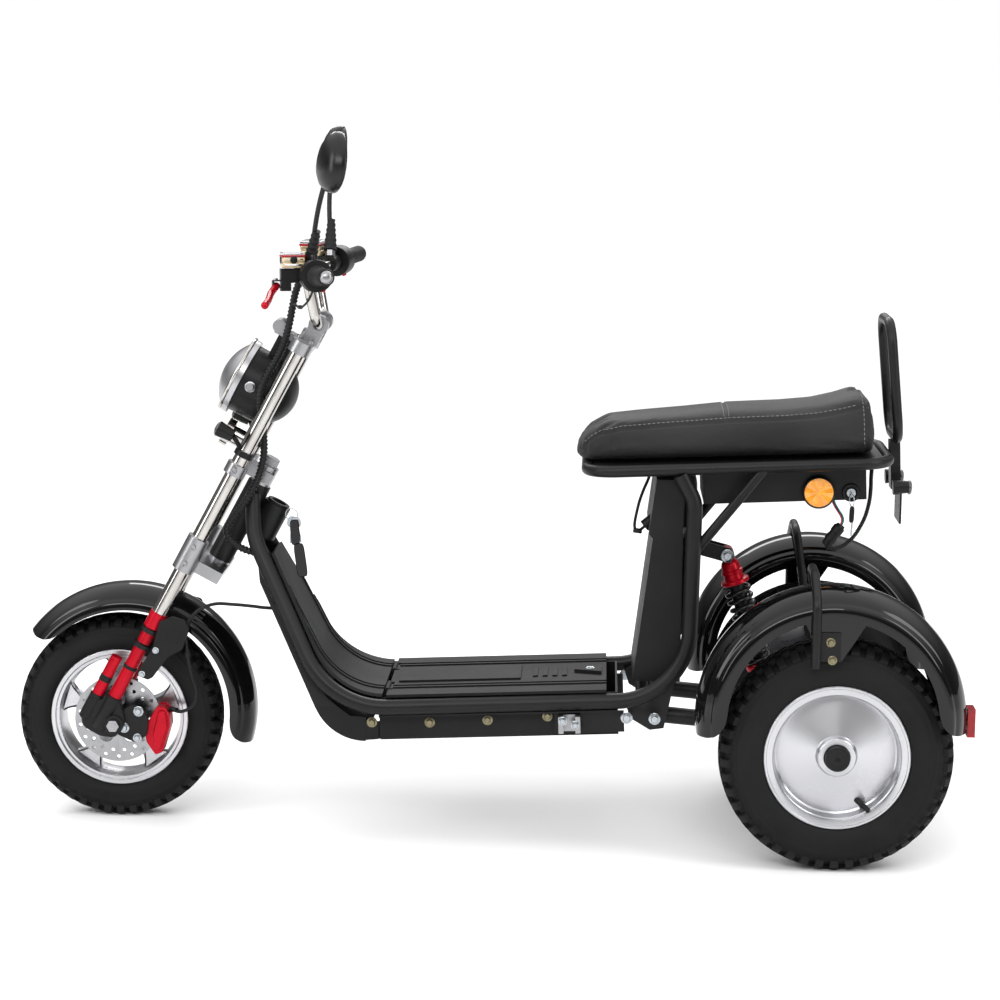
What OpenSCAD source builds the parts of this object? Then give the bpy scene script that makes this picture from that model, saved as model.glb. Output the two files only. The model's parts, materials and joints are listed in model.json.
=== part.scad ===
// Three-wheeled electric scooter: raked fork, low foot deck, bench seat, two driven rear wheels.
// Millimetres. +X is forward, +Y is the rider's left, +Z is up, and the wheels stand on Z = 0.

/* [Wheels] */
// Distance between the front and rear axles
wheelbase = 1460; // [1400:5:1520]
// Distance between the mid-planes of the rear tyres
track = 585; // [565:5:620]
// Outer radius of the front tyre at its lugs
front_tyre_r = 212; // [206:1:218]
// Width of the front tyre
front_tyre_w = 95; // [86:1:100]
// Outer radius of a rear tyre at its lugs
rear_tyre_r = 230; // [222:1:236]
// Width of a rear tyre
rear_tyre_w = 112; // [104:1:118]
// Radius of the bead seat of every rim
bead_r = 127; // [124:0.5:130]
// Height of a rim's lip above the bead seat
lip_h = 16; // [12:1:18]
// Diameter of the front axle
front_axle_d = 15; // [12:1:18]
// Diameter of a rear shaft
rear_shaft_d = 30; // [24:1:34]
// Diameter of the brake disc
disc_d = 180; // [170:1:184]

/* [Fork and bars] */
// Angle of the fork behind the vertical
rake = 28; // [26:0.5:30]
// How far the legs lie ahead of the axle, square to them
leg_lead = 26; // [22:1:30]
// How far the steering axis lies behind the legs
yoke_offset = 52; // [48:1:56]
// Half the distance between the legs
leg_y = 95; // [92:1:100]
// Length of the fork above the axle
fork_len = 885; // [865:5:905]
// Diameter of an upper leg
stanchion_d = 32; // [30:1:34]
// Diameter of a lower leg
slider_d = 28; // [26:1:30]
// Diameter of the steerer
steerer_d = 30; // [26:1:32]
// Half the width of the handlebar
bar_half_w = 347; // [330:1:360]
// Height of the grips above the ground
grip_z = 1154; // [1140:1:1170]
// Diameter of the handlebar tube
bar_d = 22; // [20:1:24]
// Diameter of the headlamp
lamp_d = 160; // [150:1:164]

/* [Frame and deck] */
// Diameter of the frame's side tubes
tube_d = 32; // [28:1:34]
// Half the distance between the side tubes along the deck
deck_y = 180; // [172:1:188]
// Height of the side tubes at the toe bend
toe_z = 272; // [262:1:284]
// Height of the side tubes at the heel bend
heel_z = 303; // [290:1:312]
// Distance of the toe bend behind the front axle
toe_back = 452; // [445:1:460]
// Distance of the uprights behind the front axle
upright_back = 1177; // [1165:1:1185]
// Distance of the lid's hinge behind the front axle
lid_back = 565; // [560:1:575]
// Length of the deck lid
lid_len = 446; // [430:1:455]
// Half the width of the deck lid
lid_half_w = 172; // [160:1:178]
// Depth of the battery tray under the tubes
tray_depth = 70; // [60:1:74]
// Thickness of a moulded wall
wall = 4; // [3:0.5:5]

/* [Seat] */
// Rise of the seat rail towards the back, in degrees
seat_tilt = 2.6; // [1.5:0.1:3.5]
// Distance of the rail's front behind the front axle
rail_back = 965; // [955:1:975]
// Length of the seat rail
rail_len = 602; // [590:1:615]
// Half the width of the seat rail
rail_y = 150; // [145:1:156]
// Height of the rail's front
rail_z = 757; // [750:1:770]
// Diameter of the rail tube
rail_d = 24; // [20:1:26]
// Height of the backrest loop
back_h = 236; // [220:1:250]
// Half the width of the backrest loop
back_y = 92; // [85:1:100]

/* [Rear fenders and shock] */
// Radius of a rear fender's crown
fender_r = 265; // [260:1:270]
// Width of a rear fender
fender_w = 150; // [144:1:154]
// Radius of the front fender's crown
front_fender_r = 262; // [256:1:268]
// Width of the front fender
front_fender_w = 136; // [130:1:140]
// Thickness of a fender
fender_t = 4; // [3:0.5:5]
// Height of the tail lamps
tail_lamp_h = 56; // [50:1:60]
// Outer diameter of the shock's spring
spring_d = 58; // [52:1:62]

/* [Hidden] */
$fn = 64;
gap = 0.3;
tail_lamp_t = 15;
fender_back = 12;
fender_lift = 73;
tail_reach = fender_r - fender_back + gap + tail_lamp_t;
front_axle_x = (wheelbase + tail_reach - front_tyre_r) / 2;
rear_axle_x = front_axle_x - wheelbase;
wheel_y = track / 2;
steer_x = leg_lead - yoke_offset;
deck_slope = atan((heel_z - toe_z) / (upright_back - toe_back));
tube_r = tube_d / 2;

// Places

function behind(d) = front_axle_x - d;

// A point of the fork's own frame: x ahead of the axle square to the legs, z up along them
function fork_point(x, y, z) = [
  front_axle_x + x * cos(rake) - z * sin(rake), y, front_tyre_r + x * sin(rake) + z * cos(rake)
];

module in_fork() translate([front_axle_x, 0, front_tyre_r]) rotate([0, -rake, 0]) children();
module in_deck() translate([behind(lid_back), 0, deck_z(lid_back)]) rotate([0, deck_slope, 0]) children();
module in_seat() translate([behind(rail_back), 0, rail_z]) rotate([0, seat_tilt, 0]) children();
module both_sides() {
  children();
  mirror([0, 1, 0]) children();
}
// Turns a shape made about Z so that it lies about Y
module about_y() rotate([90, 0, 0]) children();
// A side view drawn in X and Z, given a width across Y
module across(w) rotate([90, 0, 0]) linear_extrude(w, center = true) children();

function deck_z(back) = toe_z + (back - toe_back) * tan(deck_slope);

// Bent tubes. Path columns: [x, y, z, bend radius]

function at(p) = [p[0], p[1], p[2]];
function unit(v) = v / norm(v);
function heading(path, i) = unit(at(path[i + 1]) - at(path[i]));
function turn(path, i) = acos(min(1, heading(path, i - 1) * heading(path, i)));
function is_bend(path, i) = i > 0 && i < len(path) - 1 && path[i][3] > 0;
function cut_back(path, i) = is_bend(path, i) ? path[i][3] * tan(turn(path, i) / 2) : 0;

module rod(a, b, d) {
  v = b - a;
  translate(a)
    rotate([0, acos(v[2] / norm(v)), atan2(v[1], v[0])])
      cylinder(h = norm(v), d = d);
}

// An elbow is a hair thinner than the straights and runs a little way into them
elbow_step = 0.1;
function elbow_lap(bend_r) = acos(1 - 0.02 / bend_r);

module elbow(path, i, d) {
  into = heading(path, i - 1);
  out = heading(path, i);
  bend_r = path[i][3];
  middle = at(path[i]) + unit(out - into) * bend_r / cos(turn(path, i) / 2);
  x = unit(at(path[i]) - into * cut_back(path, i) - middle);
  z = cross(x, into);
  multmatrix([
    [x[0], into[0], z[0], middle[0]],
    [x[1], into[1], z[1], middle[1]],
    [x[2], into[2], z[2], middle[2]],
    [0, 0, 0, 1]
  ])
    rotate([0, 0, -elbow_lap(bend_r)])
      rotate_extrude(angle = turn(path, i) + 2 * elbow_lap(bend_r))
        translate([bend_r, 0]) circle(d = d - elbow_step);
}

module bent_tube(path, d) {
  for (i = [0 : len(path) - 2])
    rod(
      at(path[i]) + heading(path, i) * cut_back(path, i),
      at(path[i + 1]) - heading(path, i) * cut_back(path, i + 1),
      d
    );
  for (i = [1 : len(path) - 2])
    if (is_bend(path, i)) elbow(path, i, d);
}

// A closed loop of tube in the XY plane from the origin back to -length
module tube_loop(length, half_w, bend_r, d) {
  for (side = [-1, 1])
    rod([-bend_r, side * half_w, 0], [bend_r - length, side * half_w, 0], d);
  for (end = [[0, 0], [-length, 180]])
    translate([end[0], 0, 0]) rotate([0, 0, end[1]]) {
      rod([0, bend_r - half_w, 0], [0, half_w - bend_r, 0], d);
      for (side = [-1, 1])
        translate([-bend_r, side * (half_w - bend_r), 0])
          rotate([0, 0, side > 0 ? 0 : -90])
            rotate_extrude(angle = 90) translate([bend_r, 0]) circle(d = d);
    }
}

// Swept cords: rings of points along a hand-picked route

function ring_axes(route, i) =
  let (t = unit(route[min(i + 1, len(route) - 1)] - route[max(i - 1, 0)]),
       ref = abs(t[1]) < 0.9 ? [0, 1, 0] : [1, 0, 0],
       u = unit(cross(ref, t)))
  [u, cross(t, u)];

module cord(route, d, sides = 8) {
  rings = len(route);
  points = [
    for (i = [0 : rings - 1])
      for (k = [0 : sides - 1])
        let (axes = ring_axes(route, i), a = 360 * k / sides)
        route[i] + (axes[0] * cos(a) + axes[1] * sin(a)) * d / 2
  ];
  walls = [
    for (i = [0 : rings - 2])
      for (k = [0 : sides - 1])
        let (n = (k + 1) % sides, low = i * sides, high = low + sides)
        for (face = [[low + k, high + k, high + n], [low + k, high + n, low + n]]) face
  ];
  first = [for (k = [0 : sides - 1]) k];
  last = [for (k = [sides - 1 : -1 : 0]) (rings - 1) * sides + k];
  polyhedron(points, concat([first], walls, [last]), convexity = 6);
}

// Side tubes of the frame. Columns: [x, y, z, bend radius]

head_top = fork_point(steer_x, 0, 548);
head_y = 36;
knee_back = 285;
knee_y = 62;
knee_z = 600;
toe_bend = 180;
heel_y = deck_y - 8;
upright_y = rail_y;
upright_top_z = 700;

side_path = [
  [head_top[0], head_y, head_top[2], 0],
  [behind(knee_back), knee_y, knee_z, 160],
  [behind(toe_back), deck_y, toe_z, toe_bend],
  [behind(upright_back - 5), heel_y, heel_z, 150],
  [behind(upright_back + 3), upright_y, upright_top_z, 60],
  [behind(upright_back - 26), upright_y, rail_z - 2, 0]
];

head_d = 50;
head_low = 392;
head_high = 570;
pivot_back = 1108;
pivot_z = 260;
pivot_bolt_d = 16;
bracket_y = 144;
bracket_t = 18;
shock_top_back = 1253;
shock_top_z = 571;
shock_foot_back = wheelbase - 120;
shock_foot_z = 300;
shock_eye_w = 30;
shock_pin_d = 12;
cross_d = 26;
cross_backs = [525, 1082];

module rail_seats() in_seat() both_sides() rod([40, rail_y, 0], [-rail_len, rail_y, 0], rail_d + 2 * gap);

module shock_lugs(back, z, from) {
  both_sides()
    translate([0, shock_eye_w / 2 + gap, 0])
      hull() {
        translate([behind(back), 0, z]) rotate([-90, 0, 0]) cylinder(d = 30, h = 6, $fn = 32);
        translate(from) rotate([-90, 0, 0]) cylinder(d = 30, h = 6, $fn = 32);
      }
  translate([behind(back), -shock_eye_w / 2 - 8, z])
    rotate([-90, 0, 0]) cylinder(d = shock_pin_d, h = shock_eye_w + 16);
}

module frame() color("#17181a") {
  difference() {
    union() {
      both_sides() bent_tube(side_path, tube_d);
      in_fork() translate([steer_x, 0, head_low]) cylinder(d = head_d, h = head_high - head_low);
      for (back = cross_backs)
        rod([behind(back), -deck_y, deck_z(back)], [behind(back), deck_y, deck_z(back)], cross_d);
      rod([behind(upright_back), -upright_y, 590], [behind(upright_back), upright_y, 590], cross_d);
      both_sides()
        translate([0, bracket_y + bracket_t, 0])
          rotate([90, 0, 0])
            linear_extrude(bracket_t)
              polygon([
                [behind(pivot_back - 60), heel_z - 12], [behind(pivot_back - 50), pivot_z],
                [behind(pivot_back - 10), pivot_z - 24], [behind(pivot_back + 18), pivot_z - 20],
                [behind(pivot_back + 40), heel_z + 40]
              ]);
      shock_lugs(shock_top_back, shock_top_z, [behind(upright_back + 4), 0, 590]);
    }
    in_fork() translate([steer_x, 0, head_low - 1]) cylinder(d = steerer_d + 0.1, h = head_high);
    both_sides()
      translate([behind(pivot_back), bracket_y - 1, pivot_z])
        rotate([-90, 0, 0]) cylinder(d = pivot_bolt_d + 0.2, h = bracket_t + 2);
    rail_seats();
  }
}

// Seat rail, its pan and struts

strut_d = 20;
strut_top_back = 1320;
strut_low_back = upright_back + 8;
strut_low_z = 604;

module seat_frame() color("#17181a") {
  in_seat() {
    tube_loop(rail_len, rail_y, 60, rail_d);
    translate([12 - rail_len, -rail_y + 5, 2]) cube([rail_len - 24, 2 * rail_y - 10, 6]);
  }
  difference() {
    both_sides()
      rod(
        [behind(strut_low_back), rail_y, strut_low_z],
        [behind(strut_top_back), rail_y, rail_z + (strut_top_back - rail_back) * tan(seat_tilt)],
        strut_d
      );
    both_sides() rod(at(side_path[3]), at(side_path[4]), tube_d + 2 * gap);
  }
}

// Seat cushion. Columns: [x behind the rail's front, half width, top height over the rail]

seat_base = rail_d / 2 + gap;
seat_rear = 30 - rail_len;
seat_stations = [
  [16, 84, 52], [-30, 108, 80], [-200, 124, 92], [-285, 128, 101],
  [seat_rear + 172, 134, 110], [seat_rear + 27, 138, 124], [seat_rear, 132, 118]
];
seat_edge_r = 14;

module seat_section(s)
  for (side = [-1, 1])
    for (z = [seat_base + seat_edge_r, s[2] - seat_edge_r])
      translate([s[0], side * (s[1] - seat_edge_r), z]) sphere(r = seat_edge_r, $fn = 16);

module seat() color("#26272a")
  in_seat()
    for (i = [0 : len(seat_stations) - 2])
      hull() {
        seat_section(seat_stations[i]);
        seat_section(seat_stations[i + 1]);
      }

// Foot panels. The side view runs parallel to the tubes, floor_low to floor_high above their middle

floor_low = tube_r + 2;
floor_high = floor_low + 6;
shin_angle = atan2(knee_z - toe_z, toe_back - knee_back);
toe_turn = shin_angle + deck_slope;

toe_reach = toe_bend * tan(toe_turn / 2);
toe_middle = [behind(toe_back), toe_z]
  + toe_reach * [-cos(deck_slope), sin(deck_slope)] + toe_bend * [sin(deck_slope), cos(deck_slope)];
shin_way = [cos(shin_angle), sin(shin_angle)];
apron_drop = 46;
shin_len = norm([toe_back - knee_back, knee_z - toe_z]) - toe_reach - apron_drop;
hinge_clear = 7;
band_start = asin((toe_reach - (lid_back - toe_back) / cos(deck_slope) + hinge_clear) / (toe_bend - tube_r));
band_steps = 20;

// A point on the toe bend at a heading, some height over the tubes' middle
function bend_point(heading, high) = toe_middle + (toe_bend - high) * [sin(heading), -cos(heading)];
function band_edge(high) = concat(
  [for (k = [0 : band_steps])
    bend_point(band_start - deck_slope + (toe_turn - band_start) * k / band_steps, high)],
  [bend_point(shin_angle, high) + shin_len * shin_way]
);
function backwards(list) = [for (i = [len(list) - 1 : -1 : 0]) list[i]];

// A band beside the tubes' side view from near the knee round the toe bend, between two heights
module floor_band(low, high) polygon(concat(band_edge(low), backwards(band_edge(high))));

// The tubes' front view: how wide the space between them is at each height
module between_tubes(inset)
  rotate([90, 0, 90])
    linear_extrude(2 * wheelbase, center = true)
      polygon([
        for (side = [1, -1])
          for (p = side > 0
            ? [[deck_y, 150], [deck_y, toe_z], [knee_y, knee_z], [head_y, 700]]
            : [[head_y, 700], [knee_y, knee_z], [deck_y, toe_z], [deck_y, 150]])
            [side * (p[0] - inset), p[1]]
      ]);

module apron() color("#1c1d1f")
  intersection() {
    union() {
      across(2 * deck_y) floor_band(floor_low, floor_high);
      for (y = [-112, -92, 92, 112])
        translate([0, y, 0]) across(8) floor_band(floor_low, floor_high + 3);
      translate([behind(cross_backs[0]) - 8, -140, deck_z(cross_backs[0]) + cross_d / 2 + gap]) cube([16, 280, 12]);
    }
    between_tubes(8);
  }

skirt_back = 524;
skirt_z = 202;
skirt_bend = 110;

skirt_steps = 12;
skirt_top = [behind(knee_back + 6), knee_z - 34];
skirt_knee = [behind(skirt_back - 225), knee_z - 90];
skirt_toe = [behind(skirt_back - 68), skirt_z];
skirt_lean = atan2(skirt_knee[1] - skirt_toe[1], skirt_knee[0] - skirt_toe[0]);
skirt_reach = skirt_bend * tan(skirt_lean / 2);
// Square to the tubes as seen from the front, with a hair of room
skirt_inset = (tube_r + gap) / cos(atan((deck_y - knee_y) / (knee_z - toe_z)));

// Side view of the front skirt: between the tubes' lower side and a round belly
module skirt_side(inset)
  polygon(concat(
    [skirt_top - [0, inset], skirt_knee - [inset, 0]],
    [for (k = [skirt_steps : -1 : 0])
      let (a = skirt_lean * k / skirt_steps)
      skirt_toe + [-skirt_reach, skirt_bend] + (skirt_bend - inset) * [sin(a), -cos(a)]],
    [
      [behind(skirt_back), skirt_z + inset], [behind(skirt_back), toe_z - tube_r - 4],
      [behind(toe_back + 40), toe_z - tube_r - 2], [behind(toe_back - 10), toe_z + 20]
    ]
  ));

module front_skirt() color("#1a1b1d")
  difference() {
    intersection() {
      across(2 * deck_y) skirt_side(0);
      between_tubes(skirt_inset);
    }
    intersection() {
      across(2 * deck_y) skirt_side(wall);
      between_tubes(skirt_inset + wall);
    }
  }

// Deck tray, battery and lid, in the deck's own frame: the hinge at x = 0, the tubes' middle at z = 0

tray_y = 146;
tray_nose = 14;
tray_clear = 49;
tray_len = cross_backs[1] - tray_clear - lid_back + tray_nose;
tray_rim = 12;
skirt_y = 164;
skirt_t = 4;
lid_bore_d = 6;
lid_knuckle_d = 11;
hinge_z = floor_high - 2;
hinge_knuckles = [-90, 90];
knuckle_w = 40;
hinge_ear_w = 12;

module deck_tray() color("#1a1b1d")
  in_deck() {
    difference() {
      translate([tray_nose - tray_len, -tray_y, -tray_depth]) cube([tray_len, 2 * tray_y, tray_depth + tray_rim]);
      translate([tray_nose - tray_len + wall, -tray_y + wall, -tray_depth + wall])
        cube([tray_len - 2 * wall, 2 * (tray_y - wall), tray_depth + tray_rim]);
    }
    both_sides() {
      translate([tray_nose - tray_len, skirt_y - skirt_t, -tray_depth]) cube([tray_len, skirt_t, tray_depth - tube_r - 2]);
      translate([tray_nose - tray_len, tray_y - 1, -tray_depth]) cube([tray_len, skirt_y - tray_y, wall]);
      translate([tray_nose - tray_len, skirt_y - skirt_t, -tube_r - gap - wall]) cube([tray_len, 22, wall]);
    }
    for (y = hinge_knuckles)
      for (side = [-1, 1])
        translate([0, y + side * (knuckle_w / 2 + hinge_ear_w / 2 + 0.5), 0]) {
          translate([0, -hinge_ear_w / 2, hinge_z]) rotate([-90, 0, 0]) cylinder(d = lid_knuckle_d, h = hinge_ear_w);
          translate([-lid_knuckle_d / 2, -hinge_ear_w / 2, tray_rim - 6])
            cube([lid_knuckle_d, hinge_ear_w, hinge_z - tray_rim + 6]);
          translate([0, -hinge_ear_w / 2, tray_rim - 6]) cube([tray_nose, hinge_ear_w, 6]);
        }
    for (y = hinge_knuckles)
      translate([0, y - knuckle_w / 2 - 4, hinge_z])
        rotate([-90, 0, 0]) cylinder(d = lid_bore_d - 0.1, h = knuckle_w + 8);
  }

module deck_battery() color("#3a3d42")
  in_deck()
    translate([-tray_len + 40, -tray_y + 20, -tray_depth + wall])
      cube([tray_len - 60, 2 * (tray_y - 20), tray_depth - wall + 4]);

lid_gap = 2;

module deck_lid() color("#1c1d1f")
  in_deck() {
    difference() {
      union() {
        translate([-lid_len, -lid_half_w, floor_low]) cube([lid_len - lid_gap, 2 * lid_half_w, floor_high - floor_low]);
        for (y = [-112, -92, 92, 112])
          translate([-lid_len, y - 4, floor_high - 1]) cube([lid_len - 10, 8, 4]);
        translate([-270, -62, floor_high - 1]) cube([250, 124, 5]);
        for (x = [-300, -320, -340, -360])
          translate([x - 5, -40, floor_high - 1]) cube([10, 80, 4]);
        translate([-lid_len + 10, 0, floor_high - 1])
          linear_extrude(8) polygon([[0, -32], [0, 32], [56, 8], [56, -8]]);
        both_sides()
          translate([-lid_len + 14, tray_y - 10, tray_rim + gap]) cube([lid_len - 40, 8, floor_low - tray_rim]);
      }
      for (y = hinge_knuckles)
        translate([-lid_knuckle_d, y - knuckle_w / 2 - hinge_ear_w - 2, tray_rim])
          cube([lid_knuckle_d + 1, knuckle_w + 2 * hinge_ear_w + 4, 30]);
    }
    difference() {
      for (y = hinge_knuckles) {
        translate([0, y - knuckle_w / 2, hinge_z]) rotate([-90, 0, 0]) cylinder(d = lid_knuckle_d, h = knuckle_w);
        translate([-lid_knuckle_d - 2, y - knuckle_w / 2, floor_low]) cube([lid_knuckle_d + 2, knuckle_w, 5]);
      }
      for (y = hinge_knuckles)
        translate([0, y - knuckle_w, hinge_z]) rotate([-90, 0, 0]) cylinder(d = lid_bore_d, h = 2 * knuckle_w);
    }
  }

// Folding peg mounts under the deck tubes

peg_back = 905;
peg_len = 140;
peg_low = 6;
peg_h = tray_depth - peg_low - tube_r - wall - 2 * gap;
peg_plate_t = 6;
peg_bore_d = 10;
peg_block = [44, 30, 34];
peg_block_x = 30;

module peg_brackets() color("#151618")
  in_deck()
    both_sides()
      translate([lid_back - peg_back - peg_len, skirt_y + gap, peg_low - tray_depth])
        cube([peg_len, peg_plate_t, peg_h]);

module peg_hinges() color("#b9bcc0")
  in_deck()
    both_sides()
      translate([lid_back - peg_back - peg_block_x, skirt_y + gap + peg_plate_t, -tray_depth + 12])
        difference() {
          translate([-peg_block[0] / 2, 0, 0]) cube(peg_block);
          translate([-12, 8, -1]) cube([24, peg_block[1], peg_block[2] + 2]);
          translate([-peg_block[0], 20, peg_block[2] / 2])
            rotate([0, 90, 0]) cylinder(d = peg_bore_d, h = 2 * peg_block[0]);
        }

// Cover in front of the uprights

cover_y = 132;

module cover_side(inset)
  polygon([
    [behind(1062) - inset, 330], [behind(1098) - inset, 622], [behind(1090) - inset, 632],
    [behind(1104) - inset, 742 - inset], [behind(upright_back - tube_r - 3), 742 - inset],
    [behind(upright_back - tube_r - 3), 330]
  ]);

module seat_post_cover() color("#1a1b1d")
  difference() {
    across(2 * cover_y) cover_side(0);
    translate([-wall, 0, -wall]) across(2 * (cover_y - wall)) cover_side(0);
  }

// Under the seat

case_back = 1196;
case_tail = 45;
case_len = rail_back + rail_len - case_tail - case_back;
case_y = 105;
case_low = -78;
case_high = -13;
reflector_d = 60;
reflector_in = 141;

module battery_case() color("#202124")
  in_seat()
    translate([rail_back - case_back - case_len, -case_y, case_low])
      cube([case_len, 2 * case_y, case_high - case_low + 15 - gap]);

module side_reflectors() color("#e8a010")
  in_seat()
    both_sides()
      translate([reflector_in - rail_len, case_y, (case_low + case_high) / 2 - 14])
        rotate([-90, 0, 0]) cylinder(d = reflector_d, h = 14);

// Backrest, tail bracket and rear signals

back_d = 20;
back_lean = 5.6;
tail_x = -rail_len - rail_d / 2 - gap;
tail_w = 44;
tail_t = 20;
tail_low = -72;
tail_high = 26;
plate_bolt_d = 6;
plate_bolt_gap = 60;

module backrest() color("#141517")
  in_seat()
    translate([tail_x - tail_t / 2, 0, tail_high + back_d / 2])
      rotate([0, back_lean - seat_tilt, 0])
        rotate([0, 90, 0])
          tube_loop(back_h, back_y, 45, back_d);

// A point of the seat's own frame
function seat_point(x, z) = [
  behind(rail_back) + x * cos(seat_tilt) + z * sin(seat_tilt), 0, rail_z - x * sin(seat_tilt) + z * cos(seat_tilt)
];

plate_w = 96;
plate_h = 76;
plate_bolt_drop = 42;

module tail_bracket() color("#151618") {
  in_seat() {
    translate([tail_x - tail_t, -tail_w / 2, tail_low]) cube([tail_t, tail_w, tail_high - tail_low - gap]);
    translate([tail_x - tail_t / 2, -60, tail_low + 12]) rotate([-90, 0, 0]) cylinder(d = 12, h = 120);
  }
  translate(seat_point(tail_x - tail_t, tail_low + 8))
    difference() {
      translate([0, -plate_w / 2, -plate_h]) cube([wall, plate_w, plate_h]);
      for (side = [-1, 1])
        translate([-1, side * plate_bolt_gap / 2, -plate_bolt_drop])
          rotate([0, 90, 0]) cylinder(d = plate_bolt_d, h = wall + 2);
    }
}

module rear_signals() color("#2a2b2e")
  in_seat()
    both_sides()
      translate([tail_x - tail_t / 2 - 22, 60 + gap, tail_low + 12])
        rotate([0, 90, 0]) translate([0, 15, 0]) cylinder(d1 = 24, d2 = 30, h = 34);

// Swing arm, axle, motor

arm_y = 120;
arm_d = 34;
axle_tube_d = 60;
axle_tube_y = 215;
motor_d = 190;
motor_w = 130;
// Height of the arms where the shock stands on them
arm_z = pivot_z + (rear_tyre_r - pivot_z) * (shock_foot_back - pivot_back) / (wheelbase - pivot_back);

module swing_arm() color("#1b1c1e") {
  both_sides() {
    rod([behind(pivot_back), arm_y, pivot_z], [rear_axle_x, arm_y, rear_tyre_r], arm_d);
    translate([rear_axle_x, motor_w / 2 + gap, rear_tyre_r]) rotate([-90, 0, 0]) {
      cylinder(d = axle_tube_d, h = axle_tube_y - motor_w / 2 - gap);
      cylinder(d = rear_shaft_d, h = wheel_y + rear_rim_w / 2 - motor_w / 2 - gap);
    }
  }
  translate([behind(pivot_back), -bracket_y + gap, pivot_z])
    rotate([-90, 0, 0]) cylinder(d = 38, h = 2 * (bracket_y - gap));
  rod([behind(shock_foot_back), -arm_y, arm_z], [behind(shock_foot_back), arm_y, arm_z], cross_d);
  shock_lugs(shock_foot_back, shock_foot_z, [behind(shock_foot_back), 0, arm_z]);
}

module drive_motor() color("#8d9094")
  translate([rear_axle_x, -motor_w / 2, rear_tyre_r]) rotate([-90, 0, 0]) {
    translate([0, 0, 12]) cylinder(d = motor_d, h = motor_w - 24);
    cylinder(d = motor_d - 40, h = motor_w);
  }

// Shock, in its own frame: foot eye at the origin, head eye at z = shock_len

shock_len = norm([shock_foot_back - shock_top_back, shock_top_z - shock_foot_z]);
shock_lean = atan2(shock_foot_back - shock_top_back, shock_top_z - shock_foot_z);
spring_wire = 9;
spring_low = 44;
spring_high = 186;
spring_turns = 6;

module in_shock()
  translate([behind(shock_foot_back), 0, shock_foot_z]) rotate([0, shock_lean, 0]) children();

module rear_shock() color("#c01528")
  in_shock()
    difference() {
      union() {
        for (z = [0, shock_len])
          translate([0, -shock_eye_w / 2, z]) rotate([-90, 0, 0]) cylinder(d = 30, h = shock_eye_w);
        cylinder(d = 20, h = shock_len);
        translate([0, 0, spring_low - 8]) cylinder(d = spring_d + 2, h = 8);
        translate([0, 0, spring_high]) cylinder(d = spring_d + 2, h = 9);
        translate([0, 0, spring_high]) cylinder(d = 44, h = shock_len - spring_high - 18);
      }
      for (z = [0, shock_len])
        translate([0, -shock_eye_w, z]) rotate([-90, 0, 0]) cylinder(d = shock_pin_d + 0.2, h = 2 * shock_eye_w);
    }

spring_steps = 14;
spring_rise = spring_high - spring_low - spring_wire - 2 * gap;
spring_route = [
  for (i = [0 : spring_turns * spring_steps])
    let (a = 360 * i / spring_steps)
    [
      (spring_d - spring_wire) / 2 * cos(a), (spring_d - spring_wire) / 2 * sin(a),
      spring_low + gap + spring_wire / 2 + spring_rise * i / (spring_turns * spring_steps)
    ]
];

module shock_spring() color("#101113") in_shock() cord(spring_route, spring_wire, 6);

// Fenders: a round-backed shell swept about Y

module fender_shell(r, w, depth, t, from, to) {
  section_r = (w * w / 4 + depth * depth) / (2 * depth);
  about_y()
    rotate([0, 0, from])
      rotate_extrude(angle = to - from, $fn = 120)
        difference() {
          intersection() {
            translate([r - section_r, 0]) circle(r = section_r);
            translate([r - depth, -w]) square([depth + 1, 2 * w]);
          }
          translate([r - section_r, 0]) circle(r = section_r - t);
        }
}

fender_x = rear_axle_x + fender_back;
fender_z = rear_tyre_r + fender_lift;
fender_depth = 60;

hoop_d = 18;
hoop_back = wheelbase - 50;
hoop_in = wheel_y - fender_w / 2 - hoop_d / 2 - 3;
hoop_plate_t = 4;
hoop_out = wheel_y + fender_w / 2 + gap + hoop_plate_t + hoop_d / 2 - 1;
hoop_top = fender_z + fender_r + hoop_d / 2 + 10;
hoop_path = [
  [rear_axle_x, hoop_in, rear_tyre_r + 12, 0],
  [behind(hoop_back), hoop_in, hoop_top, 30],
  [behind(hoop_back), wheel_y + 10, hoop_top, 30],
  [behind(hoop_back), hoop_out, hoop_top - 42, 30],
  [behind(hoop_back), hoop_out, 418, 0]
];
tab_low = 428;
tab_high = fender_z + fender_r - fender_depth + 4;

// The flat tab that hangs from the fender's outer edge, in side view
module fender_tab()
  translate([0, wheel_y + fender_w / 2, 0])
    rotate([90, 0, 0])
      linear_extrude(fender_t)
        polygon([
          [behind(hoop_back - 26), tab_high], [behind(hoop_back - 6), tab_low + 44], [behind(hoop_back), tab_low],
          [behind(hoop_back + 50), tab_low], [behind(hoop_back + 76), tab_low + 40],
          [behind(hoop_back + 100), tab_high - 6]
        ]);

module rear_fender() color("#0b0b0d") {
  translate([fender_x, wheel_y, fender_z])
    fender_shell(fender_r, fender_w, fender_depth, fender_t, -10, 187);
  fender_tab();
}

module rear_fender_left() rear_fender();
module rear_fender_right() mirror([0, 1, 0]) rear_fender();

module fender_hoops() color("#141517")
  both_sides()
    difference() {
      union() {
        bent_tube(hoop_path, hoop_d);
        translate([behind(hoop_back + 48), hoop_out + 1 - hoop_d / 2 - hoop_plate_t, tab_low + 2])
          cube([48, hoop_plate_t, 56]);
      }
      translate([rear_axle_x, 0, rear_tyre_r]) rotate([-90, 0, 0]) cylinder(d = axle_tube_d + 2 * gap, h = track);
    }

module tail_lamps() color("#b0101c")
  both_sides()
    translate([fender_x - fender_r - gap - tail_lamp_t, wheel_y - 20, fender_z - tail_lamp_h / 2 - 5])
      cube([tail_lamp_t, 40, tail_lamp_h]);

// Fittings on the frame

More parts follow.
